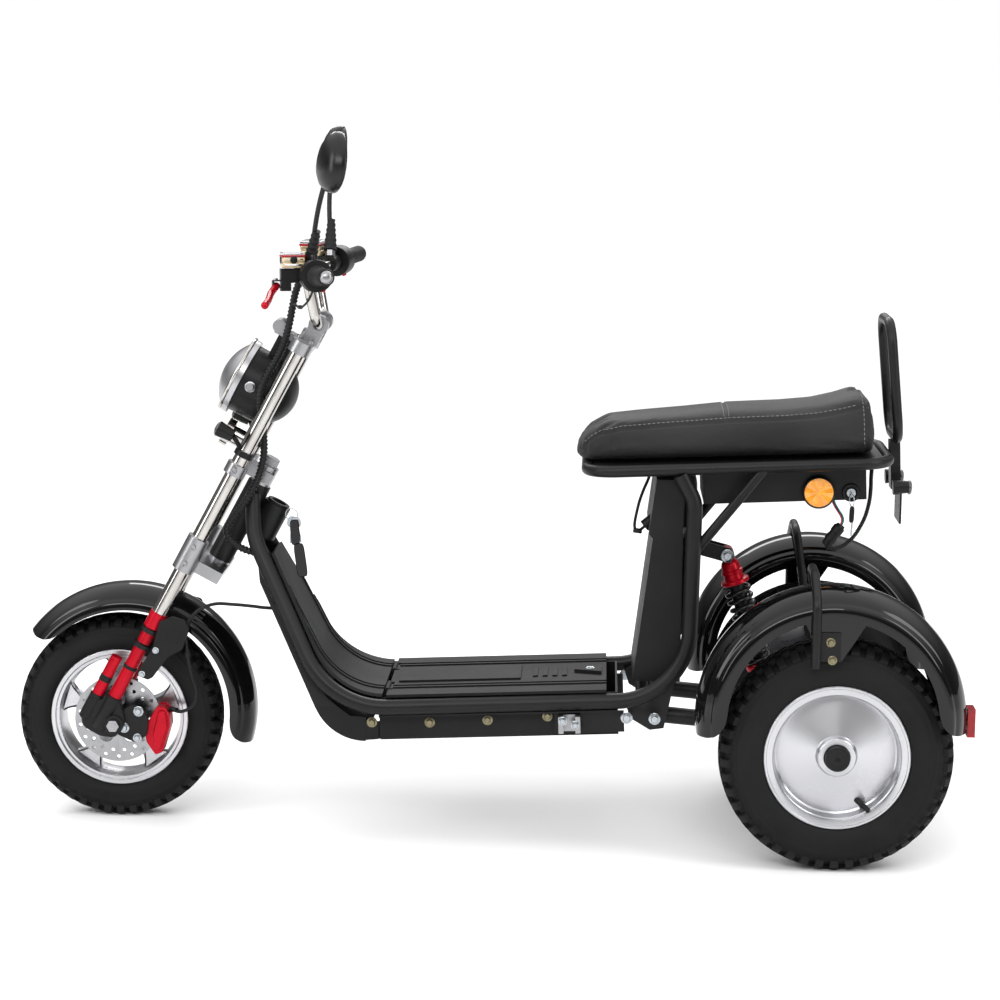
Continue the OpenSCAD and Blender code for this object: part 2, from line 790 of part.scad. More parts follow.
pod_d = 56;
pod_x = steer_x - head_d / 2 - pod_d / 2 - gap;

module ignition_pod() color("#121315")
  in_fork()
    translate([pod_x, 0, 478])
      difference() {
        union() {
          cylinder(d = pod_d, h = 72);
          translate([0, 0, 72]) cylinder(d = pod_d - 8, h = 5);
        }
        translate([0, 0, 70]) cylinder(d = pod_d - 24, h = 10);
      }

function placed(route) = [for (p = route) [front_axle_x + p[0], p[1], p[2]]];

socket_at = [behind(1108), 50, 656];
socket_len = 34;
socket_tilt = 130;

module charge_socket() color("#101113")
  difference() {
    translate(socket_at) rotate([0, socket_tilt, 0]) cylinder(d = 24, h = socket_len);
    across(2 * cover_y + 2) cover_side(-gap);
  }

charge_route = [
  [-1096, 50, 764], [-1094, 50, 750], [-1088, 50, 730], [-1079, 50, 708], [-1071, 50, 684], [-1066, 50, 662],
  [-1063, 50, 646], [-1062, 50, 634], [-1064, 50, 627], [-1069, 50, 624], [-1075, 50, 627], [-1082, 50, 633]
];

module charge_lead() color("#101113") cord(placed(charge_route), 6);

harness_route = [
  [-1538, 60, 784], [-1538, 60, 764], [-1537, 60, 742], [-1537, 60, 720], [-1535, 60, 694], [-1528, 60, 664],
  [-1517, 60, 639], [-1505, 60, 620], [-1491, 60, 606], [-1478, 60, 598], [-1464, 60, 595], [-1453, 60, 598],
  [-1450, 60, 606]
];
wires_route = [
  [-1478, 60, 640], [-1482, 60, 652], [-1480, 60, 662], [-1473, 60, 673], [-1465, 60, 686], [-1460, 60, 700]
];
plug_low = [front_axle_x - 1449, 60, 602];
plug_high = [front_axle_x - 1480, 60, 644];

module rear_harness() color("#101113") {
  cord(placed(harness_route), 9);
  cord(placed(wires_route), 7);
  rod(plug_low, plug_high, 24);
}

// Fork: everything here is in the fork's own frame

clamp_d = 46;
lower_z = 354;
lower_h = 75;
upper_z = 578;
upper_h = 24;
fit = 0.1;

module legs_at() for (side = [-1, 1]) translate([leg_lead, side * leg_y, 0]) children();

module fork_yokes() color("#b4b8bd")
  in_fork()
    difference() {
      union() {
        translate([0, 0, lower_z]) legs_at() cylinder(d = clamp_d, h = lower_h);
        translate([steer_x - 24, -leg_y, lower_z + 6]) cube([yoke_offset + 30, 2 * leg_y, 25]);
        translate([0, 0, upper_z]) legs_at() cylinder(d = clamp_d - 2, h = upper_h);
        translate([leg_lead - 16, -leg_y, upper_z]) cube([32, 2 * leg_y, upper_h]);
        translate([steer_x - 20, -28, upper_z]) cube([yoke_offset + 20, 56, upper_h]);
        translate([steer_x, 0, lower_z + 20]) cylinder(d = steerer_d, h = upper_z - lower_z);
        translate([steer_x, 0, lower_z + 30]) cylinder(d = head_d - 6, h = head_low - lower_z - 30 - gap);
        translate([steer_x, 0, head_high + gap]) cylinder(d = 44, h = 42);
        translate([steer_x, 0, head_high + 42]) cylinder(d = 32, h = 18, $fn = 6);
      }
      translate([0, 0, lower_z - 1]) legs_at() cylinder(d = stanchion_d + 2 * fit, h = upper_z + upper_h);
    }

top_h = 26;
top_z = fork_len - top_h;
bar_at = [18, 0, fork_len + 38];

module bar_clamp() color("#b4b8bd")
  in_fork()
    difference() {
      union() {
        translate([0, 0, top_z]) legs_at() cylinder(d = clamp_d, h = top_h);
        translate([leg_lead - 20, -leg_y, top_z + 2]) cube([38, 2 * leg_y, top_h - 4]);
        for (y = [-40, 40]) {
          translate([bar_at[0] - 17, y - 14, top_z + top_h - 4]) cube([34, 28, bar_at[2] - fork_len + 4]);
          translate([bar_at[0], y - 14, bar_at[2]]) rotate([-90, 0, 0]) cylinder(d = 40, h = 28);
        }
        translate([leg_lead + 16, -24, top_z + 4]) cube([50, 48, 14]);
        translate([leg_lead + 62, -26, top_z + 20]) rotate([-90, 0, 0]) cylinder(d = 27, h = 52);
      }
      translate([0, 0, top_z - 1]) legs_at() cylinder(d = stanchion_d + 2 * fit, h = top_h - 3);
      translate([bar_at[0], -leg_y, bar_at[2]]) rotate([-90, 0, 0]) cylinder(d = bar_d + 2 * fit, h = 2 * leg_y);
    }

slider_top = 252;
slider_low = 38;

module stanchions() color("#d9d5cf")
  in_fork() legs_at() translate([0, 0, slider_top + gap]) cylinder(d = stanchion_d, h = top_z + top_h - 5 - slider_top - gap);

reservoir_d = 24;
reservoir_x = leg_lead + 34;

module sliders() color("#c8102e")
  in_fork() {
    legs_at() {
      translate([0, 0, slider_low]) cylinder(d = slider_d, h = slider_top - slider_low);
      translate([0, 0, slider_top - 34]) cylinder(d = slider_d + 8, h = 34);
    }
    for (side = [-1, 1])
      translate([reservoir_x, side * leg_y, 40]) cylinder(d = reservoir_d, h = 88);
  }

foot_w = 30;

module fork_feet() color("#151618")
  in_fork()
    difference() {
      union() {
        legs_at() translate([0, 0, -26]) cylinder(d = slider_d + 8, h = 26 + slider_low - gap + 14);
        for (side = [-1, 1]) {
          translate([-16, side * leg_y - foot_w / 2, -22]) cube([leg_lead + 24, foot_w, 44]);
          translate([leg_lead, side * leg_y - 11, -26]) cube([46, 22, 16]);
          translate([reservoir_x, side * leg_y, -26]) cylinder(d = 28, h = 66 - gap);
        }
        translate([-104, leg_y - 8, -10]) cube([100, 10, 44]);
      }
      translate([0, 0, slider_low - gap]) legs_at() cylinder(d = slider_d + 2 * fit, h = 40);
      translate([0, -2 * leg_y, 0]) rotate([-90, 0, 0]) cylinder(d = front_axle_d + 2 * fit, h = 4 * leg_y);
    }

axle_spacer_y = leg_y - foot_w / 2 - gap;
hub_half = 50;

module front_axle() color("#9a9da1")
  translate([front_axle_x, 0, front_tyre_r]) {
    translate([0, -leg_y - 26, 0]) rotate([-90, 0, 0]) cylinder(d = front_axle_d, h = 2 * leg_y + 52);
    both_sides() {
      translate([0, leg_y + foot_w / 2 + gap, 0]) rotate([-90, 0, 0]) cylinder(d = 26, h = 10, $fn = 6);
      translate([0, hub_half + 5, 0]) rotate([-90, 0, 0]) cylinder(d = 24, h = axle_spacer_y - hub_half - 5);
    }
  }

front_fender_back = 22;
front_fender_lift = 20;
front_fender_depth = 50;

module front_fender() color("#0b0b0d")
  translate([behind(front_fender_back), 0, front_tyre_r + front_fender_lift])
    fender_shell(front_fender_r, front_fender_w, front_fender_depth, fender_t, 38, 200);

bracket_plate_t = 4;

module fender_brackets() color("#17181a")
  in_fork()
    both_sides()
      difference() {
        union() {
          translate([0, front_fender_w / 2 + gap + bracket_plate_t, 0])
            rotate([90, 0, 0])
              linear_extrude(bracket_plate_t)
                polygon([[30, 165], [32, 236], [10, 264], [-38, 262], [-44, 236], [-8, 200], [6, 165]]);
          for (z = [170, 206])
            translate([leg_lead, leg_y, z]) {
              cylinder(d = slider_d + 10, h = 9);
              translate([-13, front_fender_w / 2 - leg_y + gap + 1, 0]) cube([26, leg_y - front_fender_w / 2 - 6, 9]);
            }
        }
        translate([leg_lead, leg_y, 100]) cylinder(d = slider_d + 2 * fit, h = 180);
        translate([leg_lead, leg_y, slider_top - 34 - gap]) cylinder(d = slider_d + 8 + 2 * gap, h = 60);
      }

// Headlamp, horn and signals

lamp_z = 748;
lamp_x = 103;
lamp_depth = 117;
bowl_r = lamp_d / 2 - 8;
bezel_w = 12;
dome_h = 34;
dome_r = (pow(lamp_d / 2 - 4, 2) + dome_h * dome_h) / (2 * dome_h);

module in_lamp() in_fork() translate([lamp_x, 0, lamp_z]) rotate([0, 90, 0]) children();

module headlamp_shell() color("#131416") {
  in_lamp()
    difference() {
      union() {
        translate([0, 0, bowl_r - lamp_depth]) intersection() {
          sphere(r = bowl_r, $fn = 96);
          translate([0, 0, -bowl_r]) cylinder(r = bowl_r + 1, h = bowl_r);
        }
        translate([0, 0, bowl_r - lamp_depth]) cylinder(r = bowl_r, h = lamp_depth - bowl_r);
      }
      translate([0, 0, bowl_r - lamp_depth]) intersection() {
        sphere(r = bowl_r - wall, $fn = 96);
        translate([0, 0, -bowl_r]) cylinder(r = bowl_r, h = bowl_r + 1);
      }
      translate([0, 0, bowl_r - lamp_depth]) cylinder(r = bowl_r - wall, h = lamp_depth);
    }
  in_fork()
    difference() {
      translate([lamp_x - 58, -18, lamp_z + 60]) cube([36, 36, top_z - lamp_z - 56 - gap]);
      translate([lamp_x - lamp_depth + bowl_r, 0, lamp_z]) rotate([0, 90, 0]) cylinder(r = bowl_r - wall, h = lamp_depth);
    }
}

module headlamp_lens() color("#c9ccd0")
  in_lamp() {
    translate([0, 0, gap]) difference() {
      cylinder(d = lamp_d, h = bezel_w);
      translate([0, 0, -1]) cylinder(d = lamp_d - 20, h = bezel_w - 3);
    }
    translate([0, 0, bezel_w + gap - 0.5]) intersection() {
      translate([0, 0, dome_h - dome_r]) sphere(r = dome_r, $fn = 96);
      cylinder(d = lamp_d - 8, h = dome_h + 1);
    }
  }

horn_d = 60;
horn_z = 633;

module horn() color("#c4c7cb")
  in_fork()
    translate([leg_lead + 16, 0, horn_z]) rotate([0, 90, 0]) {
      translate([0, 0, 30]) cylinder(d = horn_d, h = 16);
      translate([0, 0, 4]) cylinder(d = horn_d - 20, h = 28);
      translate([horn_z - upper_z - upper_h, -10, -12]) translate([-16 - gap, 0, 0]) cube([16, 20, 20]);
      translate([0, -10, -12]) cube([16, 20, 20]);
    }

signal_z = 626;

module front_signals() color("#1c1d20")
  in_fork()
    both_sides()
      difference() {
        union() {
          translate([leg_lead, leg_y, signal_z - 6]) cylinder(d = stanchion_d + 8, h = 12);
          translate([leg_lead, leg_y, signal_z]) rotate([0, 60, 45]) cylinder(d = 10, h = 56);
          translate([leg_lead + 34, leg_y + 34, signal_z + 27]) rotate([0, 90, 0]) cylinder(d1 = 24, d2 = 32, h = 34);
        }
        translate([leg_lead, leg_y, signal_z - 40]) cylinder(d = stanchion_d + 2 * fit, h = 90);
      }

// Handlebar and controls

bar_centre = fork_point(bar_at[0], 0, bar_at[2]);
rise_top = [behind(397), 90, grip_z - 14];
grip_end = [behind(464), bar_half_w, grip_z];
bar_path = [
  [bar_centre[0], 0, bar_centre[2], 0],
  [bar_centre[0], 74, bar_centre[2], 28],
  concat(rise_top, [40]),
  concat(grip_end - unit(grip_end - rise_top) * 18, [0])
];
grip_way = unit(grip_end - rise_top);

// A place along the grip, measured back from its end, with Z along the bar
module on_grip(from_end)
  translate(grip_end - grip_way * from_end)
    rotate([0, acos(grip_way[2]), atan2(grip_way[1], grip_way[0])])
      children();

grip_down = [
  grip_way[2] * grip_way[0], grip_way[2] * grip_way[1], -norm([grip_way[0], grip_way[1]]) * norm([grip_way[0], grip_way[1]])
] / norm([grip_way[0], grip_way[1]]);

module handlebar() color("#cfccc6") both_sides() bent_tube(bar_path, bar_d);

grip_d = 34;
grip_len = 112;
switch_d = 62;
switch_w = 40;
perch_w = 30;
perch_end = grip_len + switch_w + perch_w + 8;

module grips() color("#151618")
  both_sides() {
    on_grip(grip_len) difference() {
      cylinder(d = grip_d, h = grip_len - 14);
      translate([0, 0, -1]) cylinder(d = bar_d + 2 * fit, h = grip_len - 16);
    }
    on_grip(14 - gap) difference() {
      sphere(d = grip_d - 2);
      translate([0, 0, -grip_d]) cylinder(d = grip_d + 2, h = grip_d);
    }
  }

// On a grip's frame -x is up and -y is forward
perch_reach = 64;
reservoir_box = [32, 46, 26];

module bar_controls() color("#17181a")
  both_sides() {
    on_grip(grip_len + switch_w + gap) difference() {
      cylinder(d = switch_d, h = switch_w);
      translate([0, 0, -1]) cylinder(d = bar_d + 2 * fit, h = switch_w + 2);
    }
    on_grip(perch_end) difference() {
      union() {
        cylinder(d = 36, h = perch_w);
        translate([-14, -perch_reach, 4]) cube([28, perch_reach - 8, perch_w - 8]);
        translate([-14, -perch_reach, 4]) cube([44, 20, perch_w - 8]);
      }
      translate([0, 0, -1]) cylinder(d = bar_d + 2 * fit, h = perch_w + 2);
    }
  }

// Lever line. Columns: [down, ahead of the perch, along the bar, diameter]
lever_line = [[20, 8, 14, 15], [34, 22, 40, 14], [46, 34, 92, 13], [54, 46, 132, 15]];

module brake_levers() color("#c8102e")
  both_sides()
    on_grip(perch_end)
      for (i = [0 : len(lever_line) - 2])
        hull()
          for (p = [lever_line[i], lever_line[i + 1]])
            translate([p[0], -perch_reach - p[1] - gap, p[2]]) sphere(d = p[3], $fn = 16);

module fluid_reservoirs() color("#d8c9a8")
  both_sides()
    on_grip(perch_end)
      translate([-14 - gap - reservoir_box[0], -perch_reach + 2, (perch_w - reservoir_box[2]) / 2]) cube(reservoir_box);

mirror_boss_h = 56;
mirror_foot = grip_end - grip_way * (perch_end - perch_w / 2) - grip_down * (mirror_boss_h - 6);
mirror_at = [behind(464), 243, 1380];
// Mirror back. Columns: [forward, outboard, up, radius]
mirror_lobes = [[0, -48, -34, 15], [0, 48, -26, 15], [0, -44, 34, 15], [0, 44, 38, 15], [18, 0, 0, 20]];

module mirrors() color("#1d1e20")
  both_sides() {
    on_grip(perch_end) difference() {
      translate([0, 0, perch_w / 2]) rotate([0, -90, 0]) cylinder(d = 18, h = mirror_boss_h);
      translate([0, 0, -1]) cylinder(d = 36 + 2 * gap, h = perch_w + 2);
    }
    rod(mirror_foot, mirror_at, 10);
    translate(mirror_at)
      rotate([0, -8, 22])
        hull()
          for (p = mirror_lobes) translate([p[0], p[1], p[2]]) sphere(r = p[3], $fn = 20);
  }

// Front brake

caliper_slot = 8;

caliper_y = hub_half - 6;
caliper_w = leg_y - 8 - gap - caliper_y;

module caliper() color("#c8102e")
  difference() {
    translate([behind(0), caliper_y + caliper_w, 0])
      rotate([90, 0, 0])
        linear_extrude(caliper_w)
          polygon([
            [-88, 248], [-100, 246], [-111, 230], [-113, 206], [-96, 152], [-84, 145], [-74, 150], [-60, 178],
            [-66, 211]
          ]);
    translate([behind(0), hub_half + 4 - caliper_slot / 2, front_tyre_r])
      rotate([-90, 0, 0]) cylinder(r = disc_d / 2 + 3, h = caliper_slot);
  }

hose_route = [
  [-109, 70, 236], [-118, 74, 239], [-129, 80, 236], [-143, 85, 239], [-157, 89, 248], [-167, 93, 263],
  [-170, 95, 281], [-168, 97, 296], [-163, 98, 312], [-155, 100, 350], [-150, 100, 391], [-150, 100, 412],
  [-158, 98, 434], [-178, 94, 454], [-208, 88, 465], [-245, 80, 463], [-284, 75, 459]
];

module brake_hose() color("#101113") cord(placed(hose_route), 7);

loom_route = [
  [-372, 60, 1100], [-366, 62, 1070], [-358, 64, 1030], [-346, 66, 990], [-334, 70, 965], [-322, 76, 945],
  [-310, 82, 922], [-303, 86, 902], [-302, 80, 877], [-303, 68, 850], [-307, 62, 806], [-306, 62, 765],
  [-296, 64, 726], [-282, 66, 696], [-262, 64, 664], [-242, 62, 640], [-230, 62, 617], [-236, 62, 596],
  [-252, 62, 582], [-271, 63, 573]
];

module loom() color("#141517") cord(placed(loom_route), 16);

// Wheels, made about Z and turned to lie about Y

rim_t = 6;
lip_t = 4;
front_rim_w = front_tyre_w - 14;
rear_rim_w = rear_tyre_w - 18;

module tyre(r, w, rim_w) {
  side_r = (r - bead_r) / 2 + 10;
  middle = (r + bead_r) / 2;
  bead_half = rim_w / 2 - lip_t - gap;
  about_y()
    rotate_extrude($fn = 120)
      difference() {
        intersection() {
          translate([middle, 0]) circle(r = side_r);
          translate([bead_r + gap, -w / 2]) square([r - bead_r - gap, w]);
        }
        intersection() {
          translate([middle, 0]) circle(r = side_r - 9);
          translate([bead_r - 1, 9 - w / 2]) square([r - bead_r - 8, w - 18]);
        }
        for (side = [-1, 1])
          translate([bead_r, side * (bead_half + w / 2) - w / 2]) square([lip_h + gap, w]);
      }
}

module rim_barrel(w)
  about_y()
    rotate_extrude($fn = 120) {
      translate([bead_r - rim_t, -w / 2]) square([rim_t, w]);
      for (side = [-1, 1])
        translate([bead_r - rim_t, side * (w - lip_t) / 2 - lip_t / 2]) square([rim_t + lip_h, lip_t]);
    }

spoke_y = 6;
spoke_t = 16;
spokes = 5;

module at_front_axle() translate([front_axle_x, 0, front_tyre_r]) children();

module front_tyre() color("#141414") at_front_axle() tyre(front_tyre_r, front_tyre_w, front_rim_w);

module front_rim() color("#c8cacd")
  at_front_axle()
    difference() {
      union() {
        rim_barrel(front_rim_w);
        translate([0, spoke_y, 0]) rotate([-90, 0, 0]) cylinder(r = bead_r - rim_t + 1, h = spoke_t);
        translate([0, -hub_half, 0]) rotate([-90, 0, 0]) cylinder(d = 56, h = 2 * hub_half);
      }
      for (i = [0 : spokes - 1])
        rotate([0, i * 360 / spokes + 18, 0])
          translate([76, 0, 0]) rotate([-90, 0, 0]) cylinder(r = 32, h = hub_half);
      translate([0, -hub_half - 1, 0]) rotate([-90, 0, 0]) cylinder(d = front_axle_d + 0.1, h = 2 * hub_half + 2);
    }

disc_t = 4;
disc_holes = 18;

module brake_disc() color("#9fa2a6")
  at_front_axle()
    translate([0, hub_half + gap / 3, 0])
      rotate([-90, 0, 0])
        difference() {
          cylinder(d = disc_d, h = disc_t);
          translate([0, 0, -1]) cylinder(d = 27, h = disc_t + 2);
          for (i = [0 : spokes - 1])
            rotate([0, 0, i * 360 / spokes + 54]) translate([42, 0, -1]) cylinder(r = 15, h = disc_t + 2);
          for (i = [0 : disc_holes - 1])
            for (row = [[67, 0], [80, 10]])
              rotate([0, 0, i * 360 / disc_holes + row[1]])
                translate([row[0], 0, -1]) cylinder(d = 8, h = disc_t + 2);
        }

module at_rear_axle(side) translate([rear_axle_x, side * wheel_y, rear_tyre_r]) children();

module rear_rim(side)
  at_rear_axle(side)
    rotate([0, 0, side > 0 ? 0 : 180])
      difference() {
        union() {
          rim_barrel(rear_rim_w);
          translate([0, 8, 0]) rotate([-90, 0, 0]) cylinder(r1 = bead_r - rim_t + 1, r2 = 60, h = 22);
          translate([0, -36, 0]) rotate([-90, 0, 0]) cylinder(d = 80, h = 80);
          translate([0, 40, 0]) rotate([-90, 0, 0]) cylinder(d = 50, h = 20);
        }
        translate([0, -60, 0]) rotate([-90, 0, 0]) cylinder(d = rear_shaft_d + 0.1, h = 60 + rear_rim_w / 2 + 1);
      }

module rear_tyre_left() color("#141414") at_rear_axle(1) tyre(rear_tyre_r, rear_tyre_w, rear_rim_w);
module rear_tyre_right() color("#141414") at_rear_axle(-1) tyre(rear_tyre_r, rear_tyre_w, rear_rim_w);
module rear_rim_left() color("#c8cacd") rear_rim(1);
module rear_rim_right() color("#c8cacd") rear_rim(-1);

frame();
seat_frame();
seat();
apron();
front_skirt();
deck_tray();
deck_battery();
deck_lid();
peg_brackets();
peg_hinges();
seat_post_cover();
battery_case();
side_reflectors();
backrest();
tail_bracket();
rear_signals();
swing_arm();
drive_motor();
rear_shock();
shock_spring();
rear_fender_left();
rear_fender_right();
fender_hoops();
tail_lamps();
ignition_pod();
charge_socket();
charge_lead();
rear_harness();
fork_yokes();
bar_clamp();
stanchions();
sliders();
fork_feet();
front_axle();
front_fender();
fender_brackets();
headlamp_shell();
headlamp_lens();
horn();
front_signals();
handlebar();
grips();
bar_controls();
brake_levers();
fluid_reservoirs();
mirrors();
caliper();
brake_hose();
loom();
front_tyre();
front_rim();
brake_disc();
rear_tyre_left();
rear_rim_left();
rear_tyre_right();
rear_rim_right();
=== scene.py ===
"""Dresses a three-wheeled electric scooter: finishes on its solids, and modelled pieces around them."""
import json
import math

import bmesh
import bpy
import numpy as np
from bpy.props import FloatProperty, FloatVectorProperty, IntProperty, PointerProperty
from mathutils import Matrix, Vector
from mathutils.bvhtree import BVHTree


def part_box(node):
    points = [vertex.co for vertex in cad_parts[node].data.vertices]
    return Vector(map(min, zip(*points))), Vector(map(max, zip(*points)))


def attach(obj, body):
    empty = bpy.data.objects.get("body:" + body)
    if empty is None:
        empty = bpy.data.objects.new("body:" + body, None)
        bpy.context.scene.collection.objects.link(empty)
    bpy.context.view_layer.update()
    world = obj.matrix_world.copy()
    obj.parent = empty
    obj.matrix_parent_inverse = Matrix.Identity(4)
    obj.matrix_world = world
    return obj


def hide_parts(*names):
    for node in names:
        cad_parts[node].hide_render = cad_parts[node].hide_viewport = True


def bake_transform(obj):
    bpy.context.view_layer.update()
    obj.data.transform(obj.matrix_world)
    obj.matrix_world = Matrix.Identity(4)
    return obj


bl_info = {
    "name": "Three-wheeled scooter",
    "version": (1, 0, 0),
    "blender": (4, 5, 0),
    "location": "View3D > Sidebar > Scooter",
    "description": "Adds the finishes, soft pieces and small fittings of a three-wheeled scooter",
    "category": "Object",
}

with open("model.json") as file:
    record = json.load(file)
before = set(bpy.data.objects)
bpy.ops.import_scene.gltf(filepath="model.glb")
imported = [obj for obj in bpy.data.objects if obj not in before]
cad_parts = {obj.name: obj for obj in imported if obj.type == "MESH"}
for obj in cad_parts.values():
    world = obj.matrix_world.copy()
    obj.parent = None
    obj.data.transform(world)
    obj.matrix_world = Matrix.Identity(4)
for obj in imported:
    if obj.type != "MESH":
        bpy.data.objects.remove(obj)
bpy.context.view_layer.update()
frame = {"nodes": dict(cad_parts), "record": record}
JOINTS = {joint["name"]: joint for joint in frame["record"]["behaviour"]["joints"]}

# Places that the frame gives, in metres
AHEAD = np.array((1.0, 0.0, 0.0))
ACROSS = np.array((0.0, 1.0, 0.0))
UP = np.array((0.0, 0.0, 1.0))
FRONT_AXLE = np.array(JOINTS["front_wheel_spin"]["pos_m"])
REAR_AXLES = {
    "left": np.array(JOINTS["rear_wheel_left_spin"]["pos_m"]),
    "right": np.array(JOINTS["rear_wheel_right_spin"]["pos_m"]),
}
FORK_UP = np.array(JOINTS["steer"]["axis"])
FORK_AHEAD = np.cross(ACROSS, FORK_UP)
FORK = (FRONT_AXLE, np.array((FORK_AHEAD, ACROSS, FORK_UP)))
MM = 0.001


def at(back, across, up):
    """A point in metres, from millimetres behind the front axle, across and up."""
    return np.array((FRONT_AXLE[0] - back * MM, across * MM, up * MM))


def placed(points, place):
    """Points of a local frame in the shared frame: origin plus each coordinate along its axis."""
    origin, axes = place
    return origin + points @ axes


def on_fork(ahead, across, up):
    """A point in metres, from millimetres ahead of the steering line, across and along it from the axle."""
    return placed(MM * np.array((ahead, across, up)), FORK)


# Surfaces worked out as arrays

SPAN_STEPS = 40


def grid(points, wrap_u=False, wrap_v=False):
    """Vertices and quads of a surface sampled on a grid, points[u, v]; a wrapped way closes on itself."""
    count_u, count_v = points.shape[:2]
    index = np.arange(count_u * count_v).reshape(count_u, count_v)
    if wrap_u:
        index = np.vstack((index, index[:1]))
    if wrap_v:
        index = np.hstack((index, index[:, :1]))
    quads = np.stack((index[:-1, :-1], index[1:, :-1], index[1:, 1:], index[:-1, 1:]), -1)
    return points.reshape(-1, 3), quads.reshape(-1, 4)


def joined(shapes):
    """Several shapes as one: vertices stacked, each shape's quads shifted by the vertices before it."""
    starts = np.cumsum([0] + [len(vertices) for vertices, _ in shapes[:-1]])
    vertices = np.vstack([vertices for vertices, _ in shapes])
    quads = np.vstack([quads + start for (_, quads), start in zip(shapes, starts)])
    return vertices, quads


def smooth_curve(keys, count):
    """A Catmull-Rom curve through the keys, sampled evenly along its length."""
    keys = np.asarray(keys, float)
    ends = np.vstack((2 * keys[0] - keys[1], keys, 2 * keys[-1] - keys[-2]))
    t = np.linspace(0, len(keys) - 1, SPAN_STEPS * (len(keys) - 1) + 1)
    i = np.minimum(t.astype(int), len(keys) - 2)
    u = (t - i)[:, None]
    a, b, c, d = ends[i], ends[i + 1], ends[i + 2], ends[i + 3]
    square, cube = 2 * a - 5 * b + 4 * c - d, 3 * b - a - 3 * c + d
    dense = 0.5 * (2 * b + (c - a) * u + square * u**2 + cube * u**3)
    return resampled(dense, count)


def resampled(line, count):
    """A polyline cut into equal lengths."""
    along = np.concatenate(((0,), np.cumsum(np.linalg.norm(np.diff(line, axis=0), axis=1))))
    steps = np.linspace(0, along[-1], count)
    return np.stack([np.interp(steps, along, line[:, k]) for k in range(line.shape[1])], -1)


def unit(vectors):
    """Vectors of length one."""
    return vectors / np.linalg.norm(vectors, axis=-1, keepdims=True)


def circle(radius, count):
    """Points on a circle, counted round once."""
    angle = np.linspace(0, 2 * math.pi, count, endpoint=False)
    return np.stack((radius * np.cos(angle), radius * np.sin(angle)), -1)


def path_axes(path, up):
    """Two directions square to a path at each point: level with the given up, and its own up."""
    tangent = unit(np.gradient(path, axis=0))
    side = unit(np.cross(np.broadcast_to(up, path.shape), tangent))
    return side, np.cross(tangent, side)


def sweep(path, profile, up, scale=None):
    """A closed profile carried along a path: path + scale * (profile x on side + profile y on own up)."""
    side, own_up = path_axes(path, np.asarray(up, float))
    scale = np.ones(len(path)) if scale is None else np.asarray(scale, float)
    ring = profile[None, :, :] * scale[:, None, None]
    points = path[:, None, :] + ring[..., :1] * side[:, None, :] + ring[..., 1:] * own_up[:, None, :]
    return grid(with_ends(points), wrap_v=True)


def with_ends(points):
    """Adds a row at each end that lies wholly at that end's middle, which closes it."""
    first = np.broadcast_to(points[0].mean(0), points[:1].shape)
    last = np.broadcast_to(points[-1].mean(0), points[:1].shape)
    return np.concatenate((first, points, last))


def turned(profile, count, place, closed=True, loop=False):
    """A profile of [radius, height] turned about a frame's z; it closes on the axis, or as a loop."""
    profile = np.asarray(profile, float)
    heights = np.broadcast_to(profile[:, None, 1:], (len(profile), count, 1))
    rows = np.concatenate((profile[:, None, :1] * circle(1.0, count)[None], heights), -1)
    if closed and not loop:
        rows = with_ends(rows)
    return grid(placed(rows, place), wrap_u=loop, wrap_v=True)


def torus(radius, wire, place, count=64, sides=12):
    """A wire bent to a circle about a frame's z: a small circle carried round a large one."""
    section = circle(wire, sides)
    return turned(np.stack((radius + section[:, 0], section[:, 1]), -1), count, place, loop=True)


def about(origin, axis):
    """A local frame at origin whose z lies along axis."""
    axis = unit(np.asarray(axis, float))
    start = UP if abs(axis[2]) < 0.9 else AHEAD
    x = unit(start - axis * (start @ axis))
    return np.asarray(origin, float), np.array((x, np.cross(axis, x), axis))


def rounded_box(size, radius, place, count=8):
    """A box with round edges: each point of a small sphere, moved out to the corner of its octant."""
    half = np.asarray(size, float) / 2 - radius
    polar = np.concatenate((np.linspace(0, 0.5, count), np.linspace(0.5, 1, count))) * math.pi
    turn = np.concatenate([np.linspace(q, q + 0.5, count) for q in (0, 0.5, 1, 1.5)]) * math.pi
    p, t = np.meshgrid(polar, turn, indexing="ij")
    ball = np.stack((np.sin(p) * np.cos(t), np.sin(p) * np.sin(t), np.cos(p)), -1)
    octant = np.stack(
        (
            np.tile(np.repeat((1, -1, -1, 1), count), (2 * count, 1)),
            np.tile(np.repeat((1, 1, -1, -1), count), (2 * count, 1)),
            np.tile(np.repeat((1, -1), count)[:, None], (1, 4 * count)),
        ),
        -1,
    )
    return grid(placed(octant * half + radius * ball, place), wrap_v=True)


def plate(outline, thickness, bevel, place):
    """An outline given a thickness along z, its rim eased by a bevel: four rings, inset at both faces."""
    outline = np.asarray(outline, float)
    edge = unit(np.roll(outline, -1, 0) - outline)
    normal = np.stack((edge[:, 1], -edge[:, 0]), -1)
    mitre = normal + np.roll(normal, 1, 0)
    mitre /= np.maximum((mitre * normal).sum(-1, keepdims=True), 0.4)
    after = np.roll(edge, -1, 0)
    turn = np.sign((edge[:, 0] * after[:, 1] - edge[:, 1] * after[:, 0]).sum())
    rings = [(bevel, 0), (0, bevel), (0, thickness - bevel), (bevel, thickness)]
    level = np.ones((len(outline), 1))
    rows = np.stack([np.hstack((outline - turn * mitre * inset, high * level)) for inset, high in rings])
    return grid(placed(with_ends(rows), place), wrap_v=True)


def both_sides(shape):
    """A shape and its mirror image across the middle plane."""
    vertices, quads = shape
    return joined((shape, (vertices * (1, -1, 1), quads[:, ::-1])))


# Pieces

MERGE_DISTANCE = 2e-6
SLIVER_LENGTH = 1e-7


